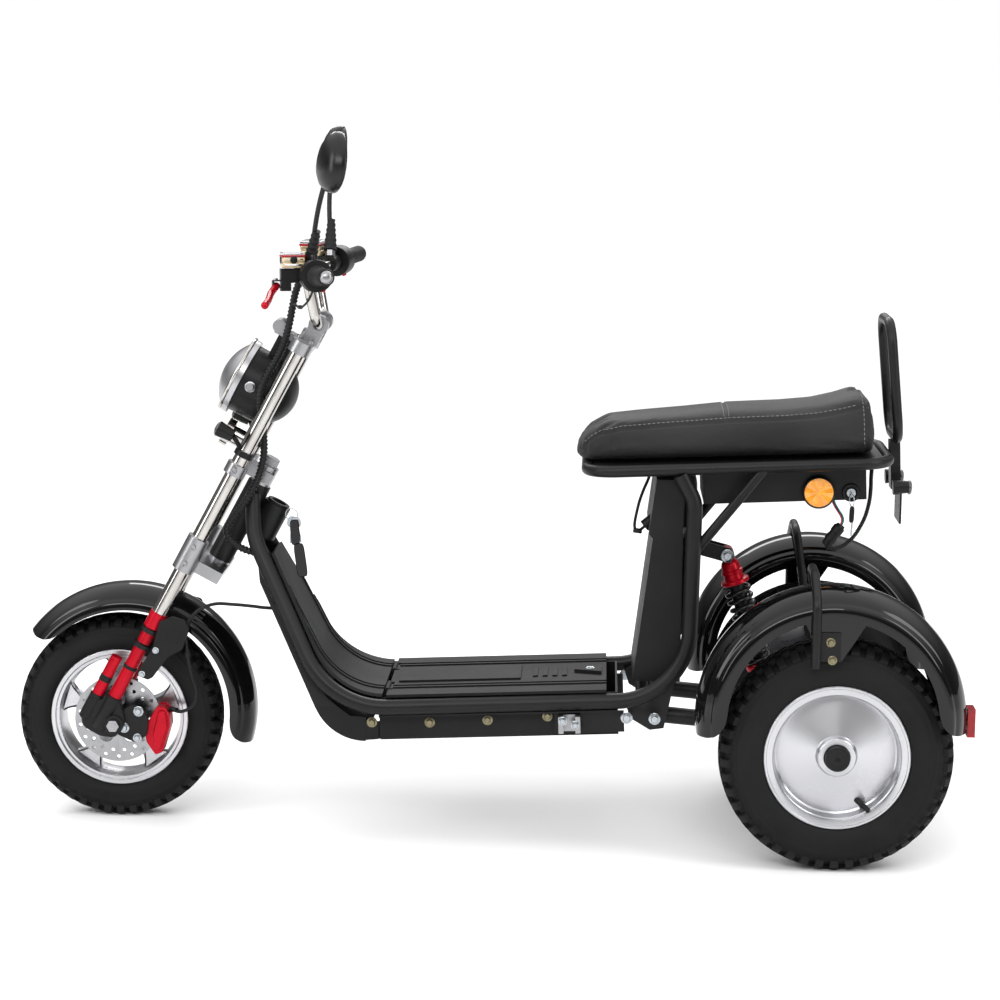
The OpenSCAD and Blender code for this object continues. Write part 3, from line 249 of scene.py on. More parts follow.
def piece(name, shape, material, body, replaces=(), sharp=35.0):
    """One object from a shape, on a body if it keeps to one; doubles are merged and faces point out."""
    vertices, quads = shape
    mesh = bpy.data.meshes.new(name)
    mesh.from_pydata(vertices.tolist(), [], quads.tolist())
    work = bmesh.new()
    work.from_mesh(mesh)
    bmesh.ops.remove_doubles(work, verts=work.verts, dist=MERGE_DISTANCE)
    bmesh.ops.dissolve_degenerate(work, edges=work.edges, dist=SLIVER_LENGTH)
    bmesh.ops.recalc_face_normals(work, faces=work.faces)
    work.to_mesh(mesh)
    work.free()
    mesh.shade_smooth()
    mesh.set_sharp_from_angle(angle=math.radians(sharp))
    mesh.materials.append(look(material))
    made = bpy.data.objects.new(name, mesh)
    bpy.context.collection.objects.link(made)
    if body:
        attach(made, body)
    if replaces:
        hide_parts(*replaces)
    return made


# Finishes

NOISE_RANGE = (0.3, 0.7)
RAMP_ENDS = (0.32, 0.68)


def shader(name):
    """A new material: its nodes, its links, its surface shader and its Object coordinates."""
    made = bpy.data.materials.new(name)
    made.use_nodes = True
    nodes, links = made.node_tree.nodes, made.node_tree.links
    surface = nodes["Principled BSDF"]
    coordinates = nodes.new("ShaderNodeTexCoord").outputs["Object"]
    return made, nodes, links, surface, coordinates


def noise(nodes, links, coordinates, scale, detail, stretch):
    """A noise value over Object coordinates, stretched along the axes."""
    mapping = nodes.new("ShaderNodeMapping")
    mapping.inputs["Scale"].default_value = stretch
    links.new(coordinates, mapping.inputs["Vector"])
    texture = nodes.new("ShaderNodeTexNoise")
    texture.inputs["Scale"].default_value = scale
    texture.inputs["Detail"].default_value = detail
    links.new(mapping.outputs["Vector"], texture.inputs["Vector"])
    return texture.outputs["Fac"]


def spread(nodes, links, value, low, high):
    """A value's middle range mapped to low..high."""
    node = nodes.new("ShaderNodeMapRange")
    for socket, end in zip(("From Min", "From Max", "To Min", "To Max"), NOISE_RANGE + (low, high)):
        node.inputs[socket].default_value = end
    links.new(value, node.inputs["Value"])
    return node.outputs["Result"]


def tinted(nodes, links, value, low, high):
    """Two colours mixed by a value."""
    ramp = nodes.new("ShaderNodeValToRGB")
    for element, end, tone in zip(ramp.color_ramp.elements, RAMP_ENDS, (low, high)):
        element.position = end
        element.color = (*tone, 1)
    links.new(value, ramp.inputs["Fac"])
    return ramp.outputs["Color"]


def bumped(nodes, links, surface, height, distance):
    """A bump of a real height in metres on a surface shader."""
    bump = nodes.new("ShaderNodeBump")
    bump.inputs["Distance"].default_value = distance
    bump.inputs["Strength"].default_value = 1.0
    links.new(height, bump.inputs["Height"])
    links.new(bump.outputs["Normal"], surface.inputs["Normal"])


def finish(name, low, high, rough, metal=0.0, patch=9.0, grain=0.0, grain_scale=700.0, stretch=(1, 1, 1),
           specular=0.5, **sockets):
    """A material: colour from low to high in soft patches, roughness that wanders, a fine grain as bump."""
    made, nodes, links, surface, coordinates = shader(name)
    wander = noise(nodes, links, coordinates, patch, 4.0, stretch)
    links.new(tinted(nodes, links, wander, low, high), surface.inputs["Base Color"])
    links.new(spread(nodes, links, wander, *rough), surface.inputs["Roughness"])
    surface.inputs["Metallic"].default_value = metal
    surface.inputs["Specular IOR Level"].default_value = specular
    if grain:
        bumped(nodes, links, surface, noise(nodes, links, coordinates, grain_scale, 2.0, stretch), grain)
    for socket, value in sockets.items():
        surface.inputs[socket.replace("_", " ")].default_value = value
    return made


def ringed(made):
    """Fine lathe rings about the wheel's axle, which stretch a metal's highlights into fans."""
    nodes, links = made.node_tree.nodes, made.node_tree.links
    tangent = nodes.new("ShaderNodeTangent")
    tangent.direction_type = "RADIAL"
    tangent.axis = "Y"
    links.new(tangent.outputs["Tangent"], nodes["Principled BSDF"].inputs["Tangent"])


def colour(tone):
    """A tone's colour: a single value is a neutral grey, a shade to the blue."""
    return (tone, tone, tone * 1.04) if isinstance(tone, float) else tone


# Finishes by name: slot, darkest and lightest tone, lowest and highest roughness, and what else differs
FINISHES = {
    "satin black paint": ("frame_paint", 0.005, 0.009, 0.36, 0.46, dict(grain=0.00012, specular=0.24)),
    "moulded black plastic": (
        "moulded_black", 0.006, 0.011, 0.5, 0.62, dict(grain=0.00022, grain_scale=1400, specular=0.2),
    ),
    "fine black plastic": (
        "case_black", 0.004, 0.008, 0.36, 0.46, dict(grain=0.00008, grain_scale=900, specular=0.22),
    ),
    "mirror shell": ("gloss_black", 0.004, 0.008, 0.24, 0.32, dict(patch=14, specular=0.3)),
    "gloss black paint": (
        "gloss_black", 0.002, 0.004, 0.05, 0.08, dict(patch=4, grain=0.0002, grain_scale=14, specular=0.34),
    ),
    "polished tube": (
        "bright_tube", (0.46, 0.44, 0.42), (0.54, 0.52, 0.5), 0.1, 0.18,
        dict(metal=1.0, patch=60, stretch=(1, 1, 0.1)),
    ),
    "bright alloy": (
        "bright_alloy", 0.3, 0.37, 0.28, 0.4, dict(metal=1.0, grain=0.00006, grain_scale=1200),
    ),
    "turned alloy": (
        "wheel_alloy", 0.5, 0.56, 0.24, 0.3,
        dict(metal=1.0, patch=3, Anisotropic=0.85, Anisotropic_Rotation=0.25),
    ),
    "cast alloy": ("cast_alloy", 0.3, 0.4, 0.42, 0.6, dict(metal=1.0, grain=0.0003, grain_scale=500)),
    "machined steel": ("steel", 0.3, 0.38, 0.22, 0.36, dict(metal=1.0, patch=40)),
    "zinc plate": ("steel", (0.36, 0.39, 0.41), (0.46, 0.49, 0.52), 0.2, 0.36, dict(metal=1.0, patch=120)),
    "yellow zinc": (
        "steel", (0.16, 0.14, 0.085), (0.28, 0.25, 0.16), 0.3, 0.46, dict(metal=1.0, patch=160),
    ),
    "red metallic": (
        "red_finish", (0.38, 0.001, 0.01), (0.46, 0.002, 0.015), 0.26, 0.36,
        dict(metal=0.35, patch=30, specular=0.22),
    ),
    "tyre rubber": (
        "tyre", 0.005, 0.01, 0.6, 0.8, dict(patch=16, grain=0.0003, grain_scale=500, specular=0.18),
    ),
    "grip rubber": (
        "grip_rubber", 0.006, 0.012, 0.5, 0.7, dict(grain=0.0002, grain_scale=1200, specular=0.25),
    ),
    "cord sleeve": (
        "cord_black", 0.004, 0.009, 0.4, 0.55, dict(grain=0.0001, grain_scale=1500, specular=0.25),
    ),
    "seat vinyl": (
        "vinyl", 0.007, 0.024, 0.55, 0.74,
        dict(patch=7, grain=0.0009, grain_scale=800, stretch=(0.5, 1, 1), specular=0.22, Sheen_Weight=0.05,
             Sheen_Roughness=0.5),
    ),
    "grey thread": ("vinyl", 0.14, 0.22, 0.7, 0.9, dict(patch=300)),
    "amber lens": (
        "amber_lens", (0.75, 0.24, 0.005), (0.95, 0.38, 0.01), 0.08, 0.2,
        dict(patch=120, grain=0.0006, grain_scale=260, Coat_Weight=1.0, Coat_Roughness=0.04),
    ),
    "smoked lens": (
        "case_black", 0.03, 0.06, 0.06, 0.12,
        dict(patch=90, grain=0.0004, grain_scale=300, Coat_Weight=0.6),
    ),
    "red lens": (
        "red_lens", (0.2, 0.001, 0.004), (0.3, 0.002, 0.006), 0.1, 0.2, dict(patch=90, specular=0.4),
    ),
    "lamp silver": ("lamp_front", 0.4, 0.48, 0.26, 0.36, dict(metal=0.85, patch=18)),
    "mirror glass": ("gloss_black", 0.78, 0.84, 0.02, 0.05, dict(metal=1.0, patch=6)),
    "tinted reservoir": (
        "reservoir_tan", (0.42, 0.31, 0.17), (0.6, 0.48, 0.3), 0.16, 0.28,
        dict(patch=60, Coat_Weight=0.8, Subsurface_Weight=0.2),
    ),
    "smoky clear": ("reservoir_tan", 0.42, 0.55, 0.14, 0.24, dict(patch=70, Coat_Weight=0.8)),
    "red wire": ("cord_black", (0.4, 0.01, 0.01), (0.5, 0.015, 0.015), 0.4, 0.5, dict(patch=90)),
    "teal wire": ("cord_black", (0.01, 0.2, 0.24), (0.02, 0.26, 0.3), 0.4, 0.5, dict(patch=90)),
}


def look(name):
    """The material of a finish, made when it is first asked for."""
    if name in bpy.data.materials:
        return bpy.data.materials[name]
    _, dark, light, smooth, rough, rest = FINISHES[name]
    made = finish(name, colour(dark), colour(light), (smooth, rough), **rest)
    if name == "turned alloy":
        ringed(made)
    return made


# The solids that keep their own shape or show beside a finer one, by finish
NODE_FINISHES = {
    "satin black paint": (
        "frame", "seat_frame", "peg_brackets", "backrest", "tail_bracket", "swing_arm", "fender_hoops",
        "fender_brackets", "shock_spring",
    ),
    "moulded black plastic": (
        "apron", "front_skirt", "deck_tray", "deck_lid", "seat_post_cover", "deck_battery",
    ),
    "fine black plastic": (
        "battery_case", "rear_signals", "ignition_pod", "charge_socket", "fork_feet", "headlamp_shell",
        "front_signals", "bar_controls",
    ),
    "mirror shell": ("mirrors",),
    "gloss black paint": ("rear_fender_left", "rear_fender_right", "front_fender"),
    "bright alloy": ("peg_hinges", "fork_yokes", "bar_clamp"),
    "polished tube": ("stanchions", "handlebar", "horn"),
    "turned alloy": ("front_rim", "rear_rim_left", "rear_rim_right"),
    "cast alloy": ("drive_motor",),
    "machined steel": ("front_axle", "brake_disc"),
    "red metallic": ("sliders", "rear_shock", "brake_levers", "caliper"),
    "tyre rubber": ("front_tyre", "rear_tyre_left", "rear_tyre_right"),
    "grip rubber": ("grips",),
    "cord sleeve": ("charge_lead", "rear_harness", "brake_hose", "loom"),
    "seat vinyl": ("seat",),
    "amber lens": ("side_reflectors",),
    "red lens": ("tail_lamps",),
    "lamp silver": ("headlamp_lens",),
    "tinted reservoir": ("fluid_reservoirs",),
}


# Settings


class ScooterSizes(bpy.types.PropertyGroup):
    """Sizes of the pieces that are added around the solids."""

    front_pitches: IntProperty(
        name="Front lugs", description="Lugs round the front tyre", default=46, min=20
    )
    rear_pitches: IntProperty(name="Rear lugs", description="Lugs round a rear tyre", default=46, min=20)
    lug_height: FloatProperty(
        name="Lug height", description="How far a lug stands out of the tyre", default=0.0095, unit="LENGTH"
    )
    seat_swell: FloatProperty(
        name="Seat swell", description="Furthest that the cushion swells", default=0.006, unit="LENGTH"
    )
    seam_depth: FloatProperty(
        name="Seam depth", description="How far a seam draws the cover in", default=0.0026, unit="LENGTH"
    )
    loom_pitch: FloatProperty(
        name="Loom pitch", description="Length of one rib of its sleeve", default=0.0078, unit="LENGTH"
    )


class ScooterColours(bpy.types.PropertyGroup):
    """Colours of the stage."""

    floor: FloatVectorProperty(
        name="Floor", description="Colour of the studio floor", default=(0.9, 0.9, 0.9), size=3,
        subtype="COLOR",
    )


def sizes():
    """The scene's sizes."""
    return bpy.context.scene.scooter_sizes


# Wheels

BEAD_RADIUS = 0.127
LIP_RADIUS = 0.143
LIP_INSIDE = 0.768

# Half of a tyre's section from crown to lip: [share of half the width, share of the height]
TYRE_SECTION = ((0, 0), (0.35, 0.012), (0.62, 0.05), (0.82, 0.14), (0.95, 0.3), (1, 0.48), (0.975, 0.62))
# Rows of lugs by share of the half section's length: [from, to, stagger in pitches]
LUG_ROWS = ((0.0, 0.085, 0.0), (0.11, 0.225, 0.5), (0.25, 0.46, 0.0))
LUG_EDGE = 0.007
LUG_SHARE = 0.58
# Cuts of one pitch, and the raised rib round each flank by share of the half section's length
PITCH_CUTS = np.array((0.0, 0.18, 0.235, 0.265, 0.32, 0.5, 0.68, 0.735, 0.765, 0.82))
RIB_AT = 0.56
RIB_HALF = 0.05
RIB_RISE = 0.0009


def tyre(radius, width, pitches, centre, lug):
    """A lugged tyre: its section turned about the axle, raised along its normal in each lug's box."""
    height = radius - lug - BEAD_RADIUS
    lip = (radius - lug - LIP_RADIUS - 0.0008) / height
    foot = (
        (LIP_INSIDE + 0.1, lip - 0.05), (LIP_INSIDE + 0.02, lip - 0.006), (LIP_INSIDE - 0.006, lip + 0.01),
        (LIP_INSIDE - 0.006, 1.0),
    )
    half = smooth_curve(TYRE_SECTION + foot, 400) * (width / 2, height)
    along = np.linspace(0, 1, len(half))
    edges = np.array([edge for row in LUG_ROWS for edge in row[:2] if edge > 0])
    middles = np.array([(row[0] + row[1]) / 2 for row in LUG_ROWS])
    flank = np.linspace(0.5, 1, 24)
    stations = np.sort(np.concatenate(((0,), edges - LUG_EDGE, edges + LUG_EDGE, middles, flank)))
    across = np.interp(stations, along, half[:, 0])
    drop = np.interp(stations, along, half[:, 1])
    slope = np.stack((np.gradient(drop), -np.gradient(across)), -1)
    normal = unit(np.where(stations[:, None] > 0, slope, (0.0, -1.0)))
    from_rib = (stations - RIB_AT) / RIB_HALF
    ribs = RIB_RISE * np.cos(np.clip(from_rib, -1, 1) * math.pi) * (np.abs(from_rib) < 1)
    angle = (np.arange(pitches)[:, None] + PITCH_CUTS[None]).reshape(-1)

    def raised(stagger_all):
        inside = np.zeros((len(angle), len(stations)))
        for low, high, stagger in LUG_ROWS:
            phase = np.abs((angle + stagger + stagger_all) % 1.0 - 0.5)
            in_angle = np.clip((LUG_SHARE / 2 - phase) / 0.03 + 0.5, 0, 1)
            in_row = (stations > low - 1e-6) & (stations < high - LUG_EDGE / 2)
            in_row |= (stations == 0) & (low == 0)
            inside = np.maximum(inside, in_angle[:, None] * in_row[None])
        return lug * inside + ribs[None]

    left, right = raised(0.0), raised(0.5)
    left[:, 0] = right[:, 0] = np.maximum(left[:, 0], right[:, 0])
    out = np.concatenate((across[::-1], -across[1:]))
    down = np.concatenate((drop[::-1], drop[1:]))
    normal_out = np.concatenate((normal[::-1, 0], -normal[1:, 0]))
    normal_down = np.concatenate((normal[::-1, 1], normal[1:, 1]))
    rise = np.concatenate((left[:, ::-1], right[:, 1:]), 1)
    y = out[None] + rise * normal_out[None]
    r = radius - lug - down[None] - rise * normal_down[None]
    turn = angle[:, None] * 2 * math.pi / pitches
    return grid(centre + np.stack((r * np.cos(turn), y, r * np.sin(turn)), -1), wrap_u=True, wrap_v=True)


class SCOOTER_OT_tyres(bpy.types.Operator):
    """Adds the lugged tyres."""

    bl_idname = "scooter.tyres"
    bl_label = "Tyres"

    def execute(self, context):
        for node, centre, body, pitches in (
            ("front_tyre", FRONT_AXLE, "front_wheel", sizes().front_pitches),
            ("rear_tyre_left", REAR_AXLES["left"], "rear_wheel_left", sizes().rear_pitches),
            ("rear_tyre_right", REAR_AXLES["right"], "rear_wheel_right", sizes().rear_pitches),
        ):
            low, high = (np.array(corner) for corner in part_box(node))
            shape = tyre((high[0] - low[0]) / 2, high[1] - low[1], pitches, centre, sizes().lug_height)
            piece(node + "_lugged", shape, "tyre rubber", body, (node,), sharp=40)
        return {"FINISHED"}


# Closed section of a rear rim, from the tyre's seat over the face to the back: [radius, outboard]
REAR_RIM = (
    (0.127, 0.043), (0.143, 0.043), (0.1432, 0.0456), (0.1416, 0.047), (0.1382, 0.047), (0.137, 0.0454),
    (0.1292, 0.0448), (0.1262, 0.044), (0.1246, 0.041), (0.124, 0.039), (0.1222, 0.0372),
    (0.1212, 0.027), (0.1194, 0.015), (0.1162, 0.013), (0.041, 0.027), (0.0395, 0.0285),
    (0.0375, 0.042), (0.036, 0.0434), (0.0265, 0.0434), (0.0252, 0.04), (0.025, 0.0), (0.04, 0.0),
    (0.113, 0.004), (0.121, -0.004), (0.1212, -0.045), (0.126, -0.0465), (0.1382, -0.047),
    (0.1416, -0.047), (0.1432, -0.0456), (0.143, -0.043), (0.127, -0.043),
)
REAR_HUB = ((0.0155, 0.004), (0.04, 0.004), (0.04, -0.034), (0.036, -0.036), (0.0155, -0.036))
REAR_CAP = (
    (0.0246, 0.03), (0.0246, 0.056), (0.0235, 0.0592), (0.0205, 0.06), (0.0175, 0.0592), (0.0045, 0.0596),
    (0.003, 0.0575),
)
VALVE = (
    (0.0062, -0.004), (0.0062, 0.012), (0.0042, 0.014), (0.0042, 0.022), (0.0048, 0.023),
    (0.0048, 0.035), (0.004, 0.036),
)


# Closed section of the front rim, its hub, and half of one of its spokes: [out from the axle, half width]
FRONT_RIM = (
    (0.127, 0.0365), (0.143, 0.0365), (0.1432, 0.0392), (0.1416, 0.0405), (0.1345, 0.0405),
    (0.1328, 0.039), (0.132, 0.034), (0.1282, 0.03), (0.1225, 0.014), (0.1205, -0.01), (0.1225, -0.03),
    (0.132, -0.034), (0.1328, -0.039), (0.1345, -0.0405), (0.1416, -0.0405), (0.1432, -0.0392),
    (0.143, -0.0365), (0.127, -0.0365),
)
FRONT_HUB = ((0.0082, -0.05), (0.03, -0.05), (0.034, -0.046), (0.034, 0.046), (0.03, 0.05), (0.0082, 0.05))
SPOKE = ((0.03, 0.02), (0.042, 0.017), (0.065, 0.0145), (0.09, 0.016), (0.108, 0.0225), (0.122, 0.037))
SPOKES = 5


class SCOOTER_OT_front_rim(bpy.types.Operator):
    """Adds the cast front rim with its spokes."""

    bl_idname = "scooter.front_rim"
    bl_label = "Front rim"

    def execute(self, context):
        place = about(FRONT_AXLE, ACROSS)
        half = smooth_curve(SPOKE, 24)
        outline = np.vstack((half, half[::-1] * (1, -1)))
        spokes = []
        for turn in np.arange(SPOKES) * 2 * math.pi / SPOKES + 0.3:
            out = np.array((math.cos(turn), 0, math.sin(turn)))
            axes = np.array((out, np.cross(ACROSS, out), ACROSS))
            spokes.append(plate(outline, 0.022, 0.004, (FRONT_AXLE - 0.009 * ACROSS, axes)))
        rings = [turned(FRONT_RIM, 180, place, loop=True), turned(FRONT_HUB, 64, place, loop=True)]
        piece(
            "front_rim_cast", joined(rings + spokes), "turned alloy", "front_wheel", ("front_rim",)
        )
        return {"FINISHED"}


class SCOOTER_OT_rear_rims(bpy.types.Operator):
    """Adds the turned rear rims, their hub caps and valves."""

    bl_idname = "scooter.rear_rims"
    bl_label = "Rear rims"

    def execute(self, context):
        for side, out in (("left", 1.0), ("right", -1.0)):
            body = "rear_wheel_" + side
            place = about(REAR_AXLES[side], ACROSS * out)
            rim = joined((turned(REAR_RIM, 180, place, loop=True), turned(REAR_HUB, 64, place, loop=True)))
            piece("rear_rim_turned_" + side, rim, "turned alloy", body, ("rear_rim_" + side,), 28)
            piece("rear_hub_cap_" + side, turned(REAR_CAP, 64, place), "fine black plastic", body)
            root = placed(np.array((-0.092, -0.045, 0.0165)), place)
            way = placed(np.array((-0.35, -0.62, 1.0)), (np.zeros(3), place[1]))
            piece("valve_" + side, turned(VALVE, 20, about(root, way)), "grip rubber", body)
        return {"FINISHED"}


# Fenders

# Half of a fender's section from crown to skirt: [share of half the width, drop in millimetres]
FENDER_CROWN = (
    (0, 0), (0.3, 2.4), (0.52, 8), (0.7, 15.5), (0.8, 22), (0.845, 27), (0.885, 29.5), (0.935, 32),
    (0.975, 36.5), (0.995, 42), (1, 46),
)
FENDER_WALL = 0.004
FENDER_TIP = 0.042
# Fenders: [middle behind the front axle, across, up, radius, width, depth, first and last angle]
FRONT_FENDER = (22, 0, 232, 262, 136, 50, 38, 196)
REAR_FENDER = (1448, 292.5, 303, 265, 150, 60, -8, 185)
# The tab that a rear fender's hoop is bolted to: [behind the front axle, up]
FENDER_TAB = ((1384, 512), (1404, 472), (1410, 428), (1460, 428), (1486, 468), (1510, 506))


def fender(back, across, up, radius, width, depth, first, last):
    """A fender: a creased section swept round a level axis, its skirts drawn back to round corners."""
    keys = np.array(FENDER_CROWN + ((1, depth),)) * (width / 2, 1)
    half = smooth_curve(keys, 40) * MM
    outer = np.vstack((half[::-1] * (-1, 1), half[1:]))
    slope = np.gradient(outer, axis=0)
    inner = outer + FENDER_WALL * unit(np.stack((-slope[:, 1], slope[:, 0]), -1))
    section = np.vstack((outer, inner[::-1]))
    low = np.clip((FENDER_TIP - (depth * MM - section[:, 1])) / FENDER_TIP, 0, 1)
    reach = radius * MM - section[:, 1]
    pull = FENDER_TIP * (1 - np.sqrt(1 - low**2)) / reach
    t = np.linspace(0, 1, 120)[:, None]
    angle = (math.radians(first) + pull) * (1 - t) + (math.radians(last) - pull) * t
    y = np.broadcast_to(section[:, 0], angle.shape)
    points = at(back, across, up) + np.stack((reach * np.cos(angle), y, reach * np.sin(angle)), -1)
    ends = [grid(np.stack((row[: len(outer)], row[len(outer):][::-1]))) for row in (points[0], points[-1])]
    return joined([grid(points, wrap_v=True)] + ends)


class SCOOTER_OT_fenders(bpy.types.Operator):
    """Adds the creased gloss fenders."""

    bl_idname = "scooter.fenders"
    bl_label = "Fenders"

    def execute(self, context):
        front = fender(*FRONT_FENDER)
        piece("front_fender_gloss", front, "gloss black paint", "steering", ("front_fender",), 40)
        outline = [at(back, 0, up)[[0, 2]] for back, up in FENDER_TAB]
        side = (at(FRONT_AXLE[0] / MM, 367.6, 0), np.array(((1, 0, 0), (0, 0, 1), (0, -1, 0))))
        left = joined((fender(*REAR_FENDER), plate(outline, FENDER_WALL, 0.0006, side)))
        right = (left[0] * (1, -1, 1), left[1][:, ::-1])
        for name, shape in (("left", left), ("right", right)):
            node = "rear_fender_" + name
            piece(node + "_gloss", shape, "gloss black paint", "chassis", (node,), 40)
        return {"FINISHED"}


# Fork fittings

# Round-cornered outlines: the foot's [ahead, up, radius] on the fork, else [behind the axle, up, radius]
FOOT = (
    (-21, 6, 14), (-14, -24, 16), (14, -35, 14), (56, -35, 24), (73, -8, 12), (73, 34, 3), (47, 34, 3),
    (43, 46, 3), (9, 46, 3), (-13, 22, 10),
)
CALIPER_PLATE = (
    (4, 232, 8), (34, 252, 10), (58, 246, 10), (70, 222, 10), (66, 188, 10), (44, 172, 10), (4, 190, 8),
)
CALIPER = (
    (86, 248, 8), (103, 246, 8), (112, 228, 8), (113, 206, 14), (97, 151, 6), (82, 145, 6), (64, 172, 12),
    (61, 190, 10), (68, 216, 14),
)
FENDER_STAY = (
    (98, 431, 4), (124, 443, 8), (150, 436, 8), (159, 415, 8), (145, 375, 8), (115, 358, 14),
    (83, 315, 5), (73, 310, 5), (50, 319, 4), (58, 337, 4), (84, 377, 8),
)
CALIPER_PAD = (
    (90, 240, 5), (102, 239, 5), (107, 226, 5), (108, 206, 8), (93, 158, 5), (84, 157, 5),
    (78, 190, 12),
)
CALIPER_BRIDGE = (
    (93, 240, 3), (103, 245, 8), (111, 228, 8), (112, 206, 14), (97, 153, 6), (88, 156, 3),
    (96, 206, 14),
)


def filleted(corners, steps=6):
    """An outline with each corner turned by an arc of its radius that touches both edges."""
    corners = np.asarray(corners, float)
    spot, radius = corners[:, :2], corners[:, 2:3]
    into = unit(spot - np.roll(spot, 1, 0))
    out = unit(np.roll(spot, -1, 0) - spot)
    cross = into[:, :1] * out[:, 1:] - into[:, 1:] * out[:, :1]
    bend = np.arctan2(cross, (into * out).sum(1, keepdims=True))
    side = np.sign(bend) * np.stack((-into[:, 1], into[:, 0]), -1)
    middle = spot - into * radius * np.tan(np.abs(bend) / 2) + side * radius
    turn = bend[:, None] * np.linspace(0, 1, steps)[None, :, None]
    start = -side[:, None] * radius[:, None]
    arm = np.concatenate(
        (start[..., :1] * np.cos(turn) - start[..., 1:] * np.sin(turn),
         start[..., :1] * np.sin(turn) + start[..., 1:] * np.cos(turn)), -1
    )
    return (middle[:, None] + arm).reshape(-1, 2)


def side_plate(corners, inner, outer, bevel=0.0012):
    """A plate that faces left: an outline behind the front axle, between two values of Y in millimetres."""
    outline = filleted(corners) * (-MM, MM) + (FRONT_AXLE[0], 0)
    place = (np.array((0, inner * MM, 0)), np.array(((1, 0, 0), (0, 0, 1), (0, 1, 0))))
    return plate(outline, (outer - inner) * MM, bevel, place)


class SCOOTER_OT_fork_fittings(bpy.types.Operator):
    """Adds the fork's feet, the caliper's plate and the caliper."""

    bl_idname = "scooter.fork_fittings"
    bl_label = "Fork fittings"

    def execute(self, context):
        outline = filleted(FOOT) * MM
        origin = on_fork(0, 84, 0)
        hook = plate(outline, 0.022, 0.0025, (origin, np.array((FORK_AHEAD, FORK_UP, ACROSS))))
        leg = about(on_fork(26, 95, 0), FORK_UP)
        can = about(on_fork(60, 95, 0), FORK_UP)
        sleeve = turned(((0.0155, -0.024), (0.018, -0.02), (0.018, 0.05), (0.0158, 0.0515)), 40, leg)
        cup = turned(((0.010, -0.02), (0.014, -0.016), (0.014, 0.038), (0.0124, 0.0395)), 36, can)
        boss = ((0.02, -0.015), (0.02, 0.015), (0.0185, 0.0165), (0.013, 0.0165))
        hub = turned(boss, 40, about(at(0, 95, 212), ACROSS))
        feet = joined((both_sides(joined((hook, sleeve, cup, hub))), side_plate(CALIPER_PLATE, 87, 97)))
        piece(
            "fork_foot_castings", feet, "fine black plastic", "steering", ("fork_feet",), 40
        )
        stays = both_sides(side_plate(FENDER_STAY, 111.5, 115.5, 0.0006))
        piece("fender_stays", stays, "fine black plastic", "steering")
        caliper = joined((
            side_plate(CALIPER, 57.5, 86.7), side_plate(CALIPER_PAD, 86, 92.7, 0.002),
            side_plate(CALIPER_BRIDGE, 44, 60), side_plate(CALIPER, 44, 47.5),
        ))
        piece("caliper_casting", caliper, "red metallic", "steering", ("caliper",), 40)
        return {"FINISHED"}


# Shock

SHOCK_FOOT, SHOCK_HEAD = at(1340, 0, 300), at(1253, 0, 571)
# Closed section of an eye, then profiles up the shock: [radius, above the foot's eye]
SHOCK_EYE = ((0.0062, -0.015), (0.015, -0.015), (0.015, 0.015), (0.0062, 0.015))
SHOCK_CAP = (
    (0.012, 0.2195), (0.028, 0.22), (0.0295, 0.222), (0.029, 0.228), (0.0205, 0.23), (0.02, 0.241),
    (0.0225, 0.243), (0.0225, 0.248), (0.0195, 0.25), (0.019, 0.262), (0.016, 0.268), (0.012, 0.272),
)
SHOCK_CUP = ((0.012, 0.034), (0.029, 0.0345), (0.03, 0.038), (0.03, 0.044), (0.026, 0.0455), (0.012, 0.046))
SHOCK_DAMPER = (
    (0.01, 0.013), (0.0125, 0.02), (0.0125, 0.13), (0.0165, 0.132), (0.0165, 0.222), (0.01, 0.264),
)
COIL = {"turns": 10, "radius": 0.0242, "wire": 0.0046, "low": 0.0505, "high": 0.2145}


class SCOOTER_OT_shock(bpy.types.Operator):
    """Adds the rear shock: red caps and eyes, a black damper and its coil."""

    bl_idname = "scooter.shock"
    bl_label = "Shock"

    def execute(self, context):
        way = SHOCK_HEAD - SHOCK_FOOT
        place = about(SHOCK_FOOT, way)
        eyes = [turned(SHOCK_EYE, 40, about(spot, ACROSS), loop=True) for spot in (SHOCK_FOOT, SHOCK_HEAD)]
        caps = [turned(profile, 56, place) for profile in (SHOCK_CAP, SHOCK_CUP)]
        piece("shock_caps", joined(eyes + caps), "red metallic", "chassis", ("rear_shock",))
        piece("shock_damper", turned(SHOCK_DAMPER, 40, place), "fine black plastic", "chassis")
        share = np.linspace(0, 1, 28 * COIL["turns"] + 1)
        turn = share * 2 * math.pi * COIL["turns"]
        rise = COIL["low"] + (COIL["high"] - COIL["low"]) * share
        helix = np.stack((COIL["radius"] * np.cos(turn), COIL["radius"] * np.sin(turn), rise), -1)
        coil = sweep(placed(helix, place), circle(COIL["wire"], 12), unit(way))
        piece("shock_coil", coil, "mirror shell", "chassis", ("shock_spring",), 60)
        return {"FINISHED"}


# Seat

SEAT_TILT = math.radians(2.6)
SEAT_AHEAD = np.array((math.cos(SEAT_TILT), 0, -math.sin(SEAT_TILT)))
SEAT = (at(965, 0, 757), np.array((SEAT_AHEAD, ACROSS, np.cross(SEAT_AHEAD, ACROSS))))
# Sections of the cushion from nose to rear, in its own frame and millimetres: [along, half width, low, top]
SEAT_STATIONS = (
    (21, 44, 24, 42), (13, 74, 16, 60), (-6, 94, 11.1, 75), (-44, 108, 11.1, 88), (-120, 117, 11.1, 93),
    (-200, 124, 11.1, 97), (-270, 127, 11.1, 102), (-292, 128, 11.1, 103), (-400, 134, 11.1, 104),
    (-460, 136, 11.1, 107), (-510, 138, 11.1, 116), (-545, 138, 11.1, 127), (-565, 136, 11.1, 128),
    (-572, 130, 16.1, 122),
)
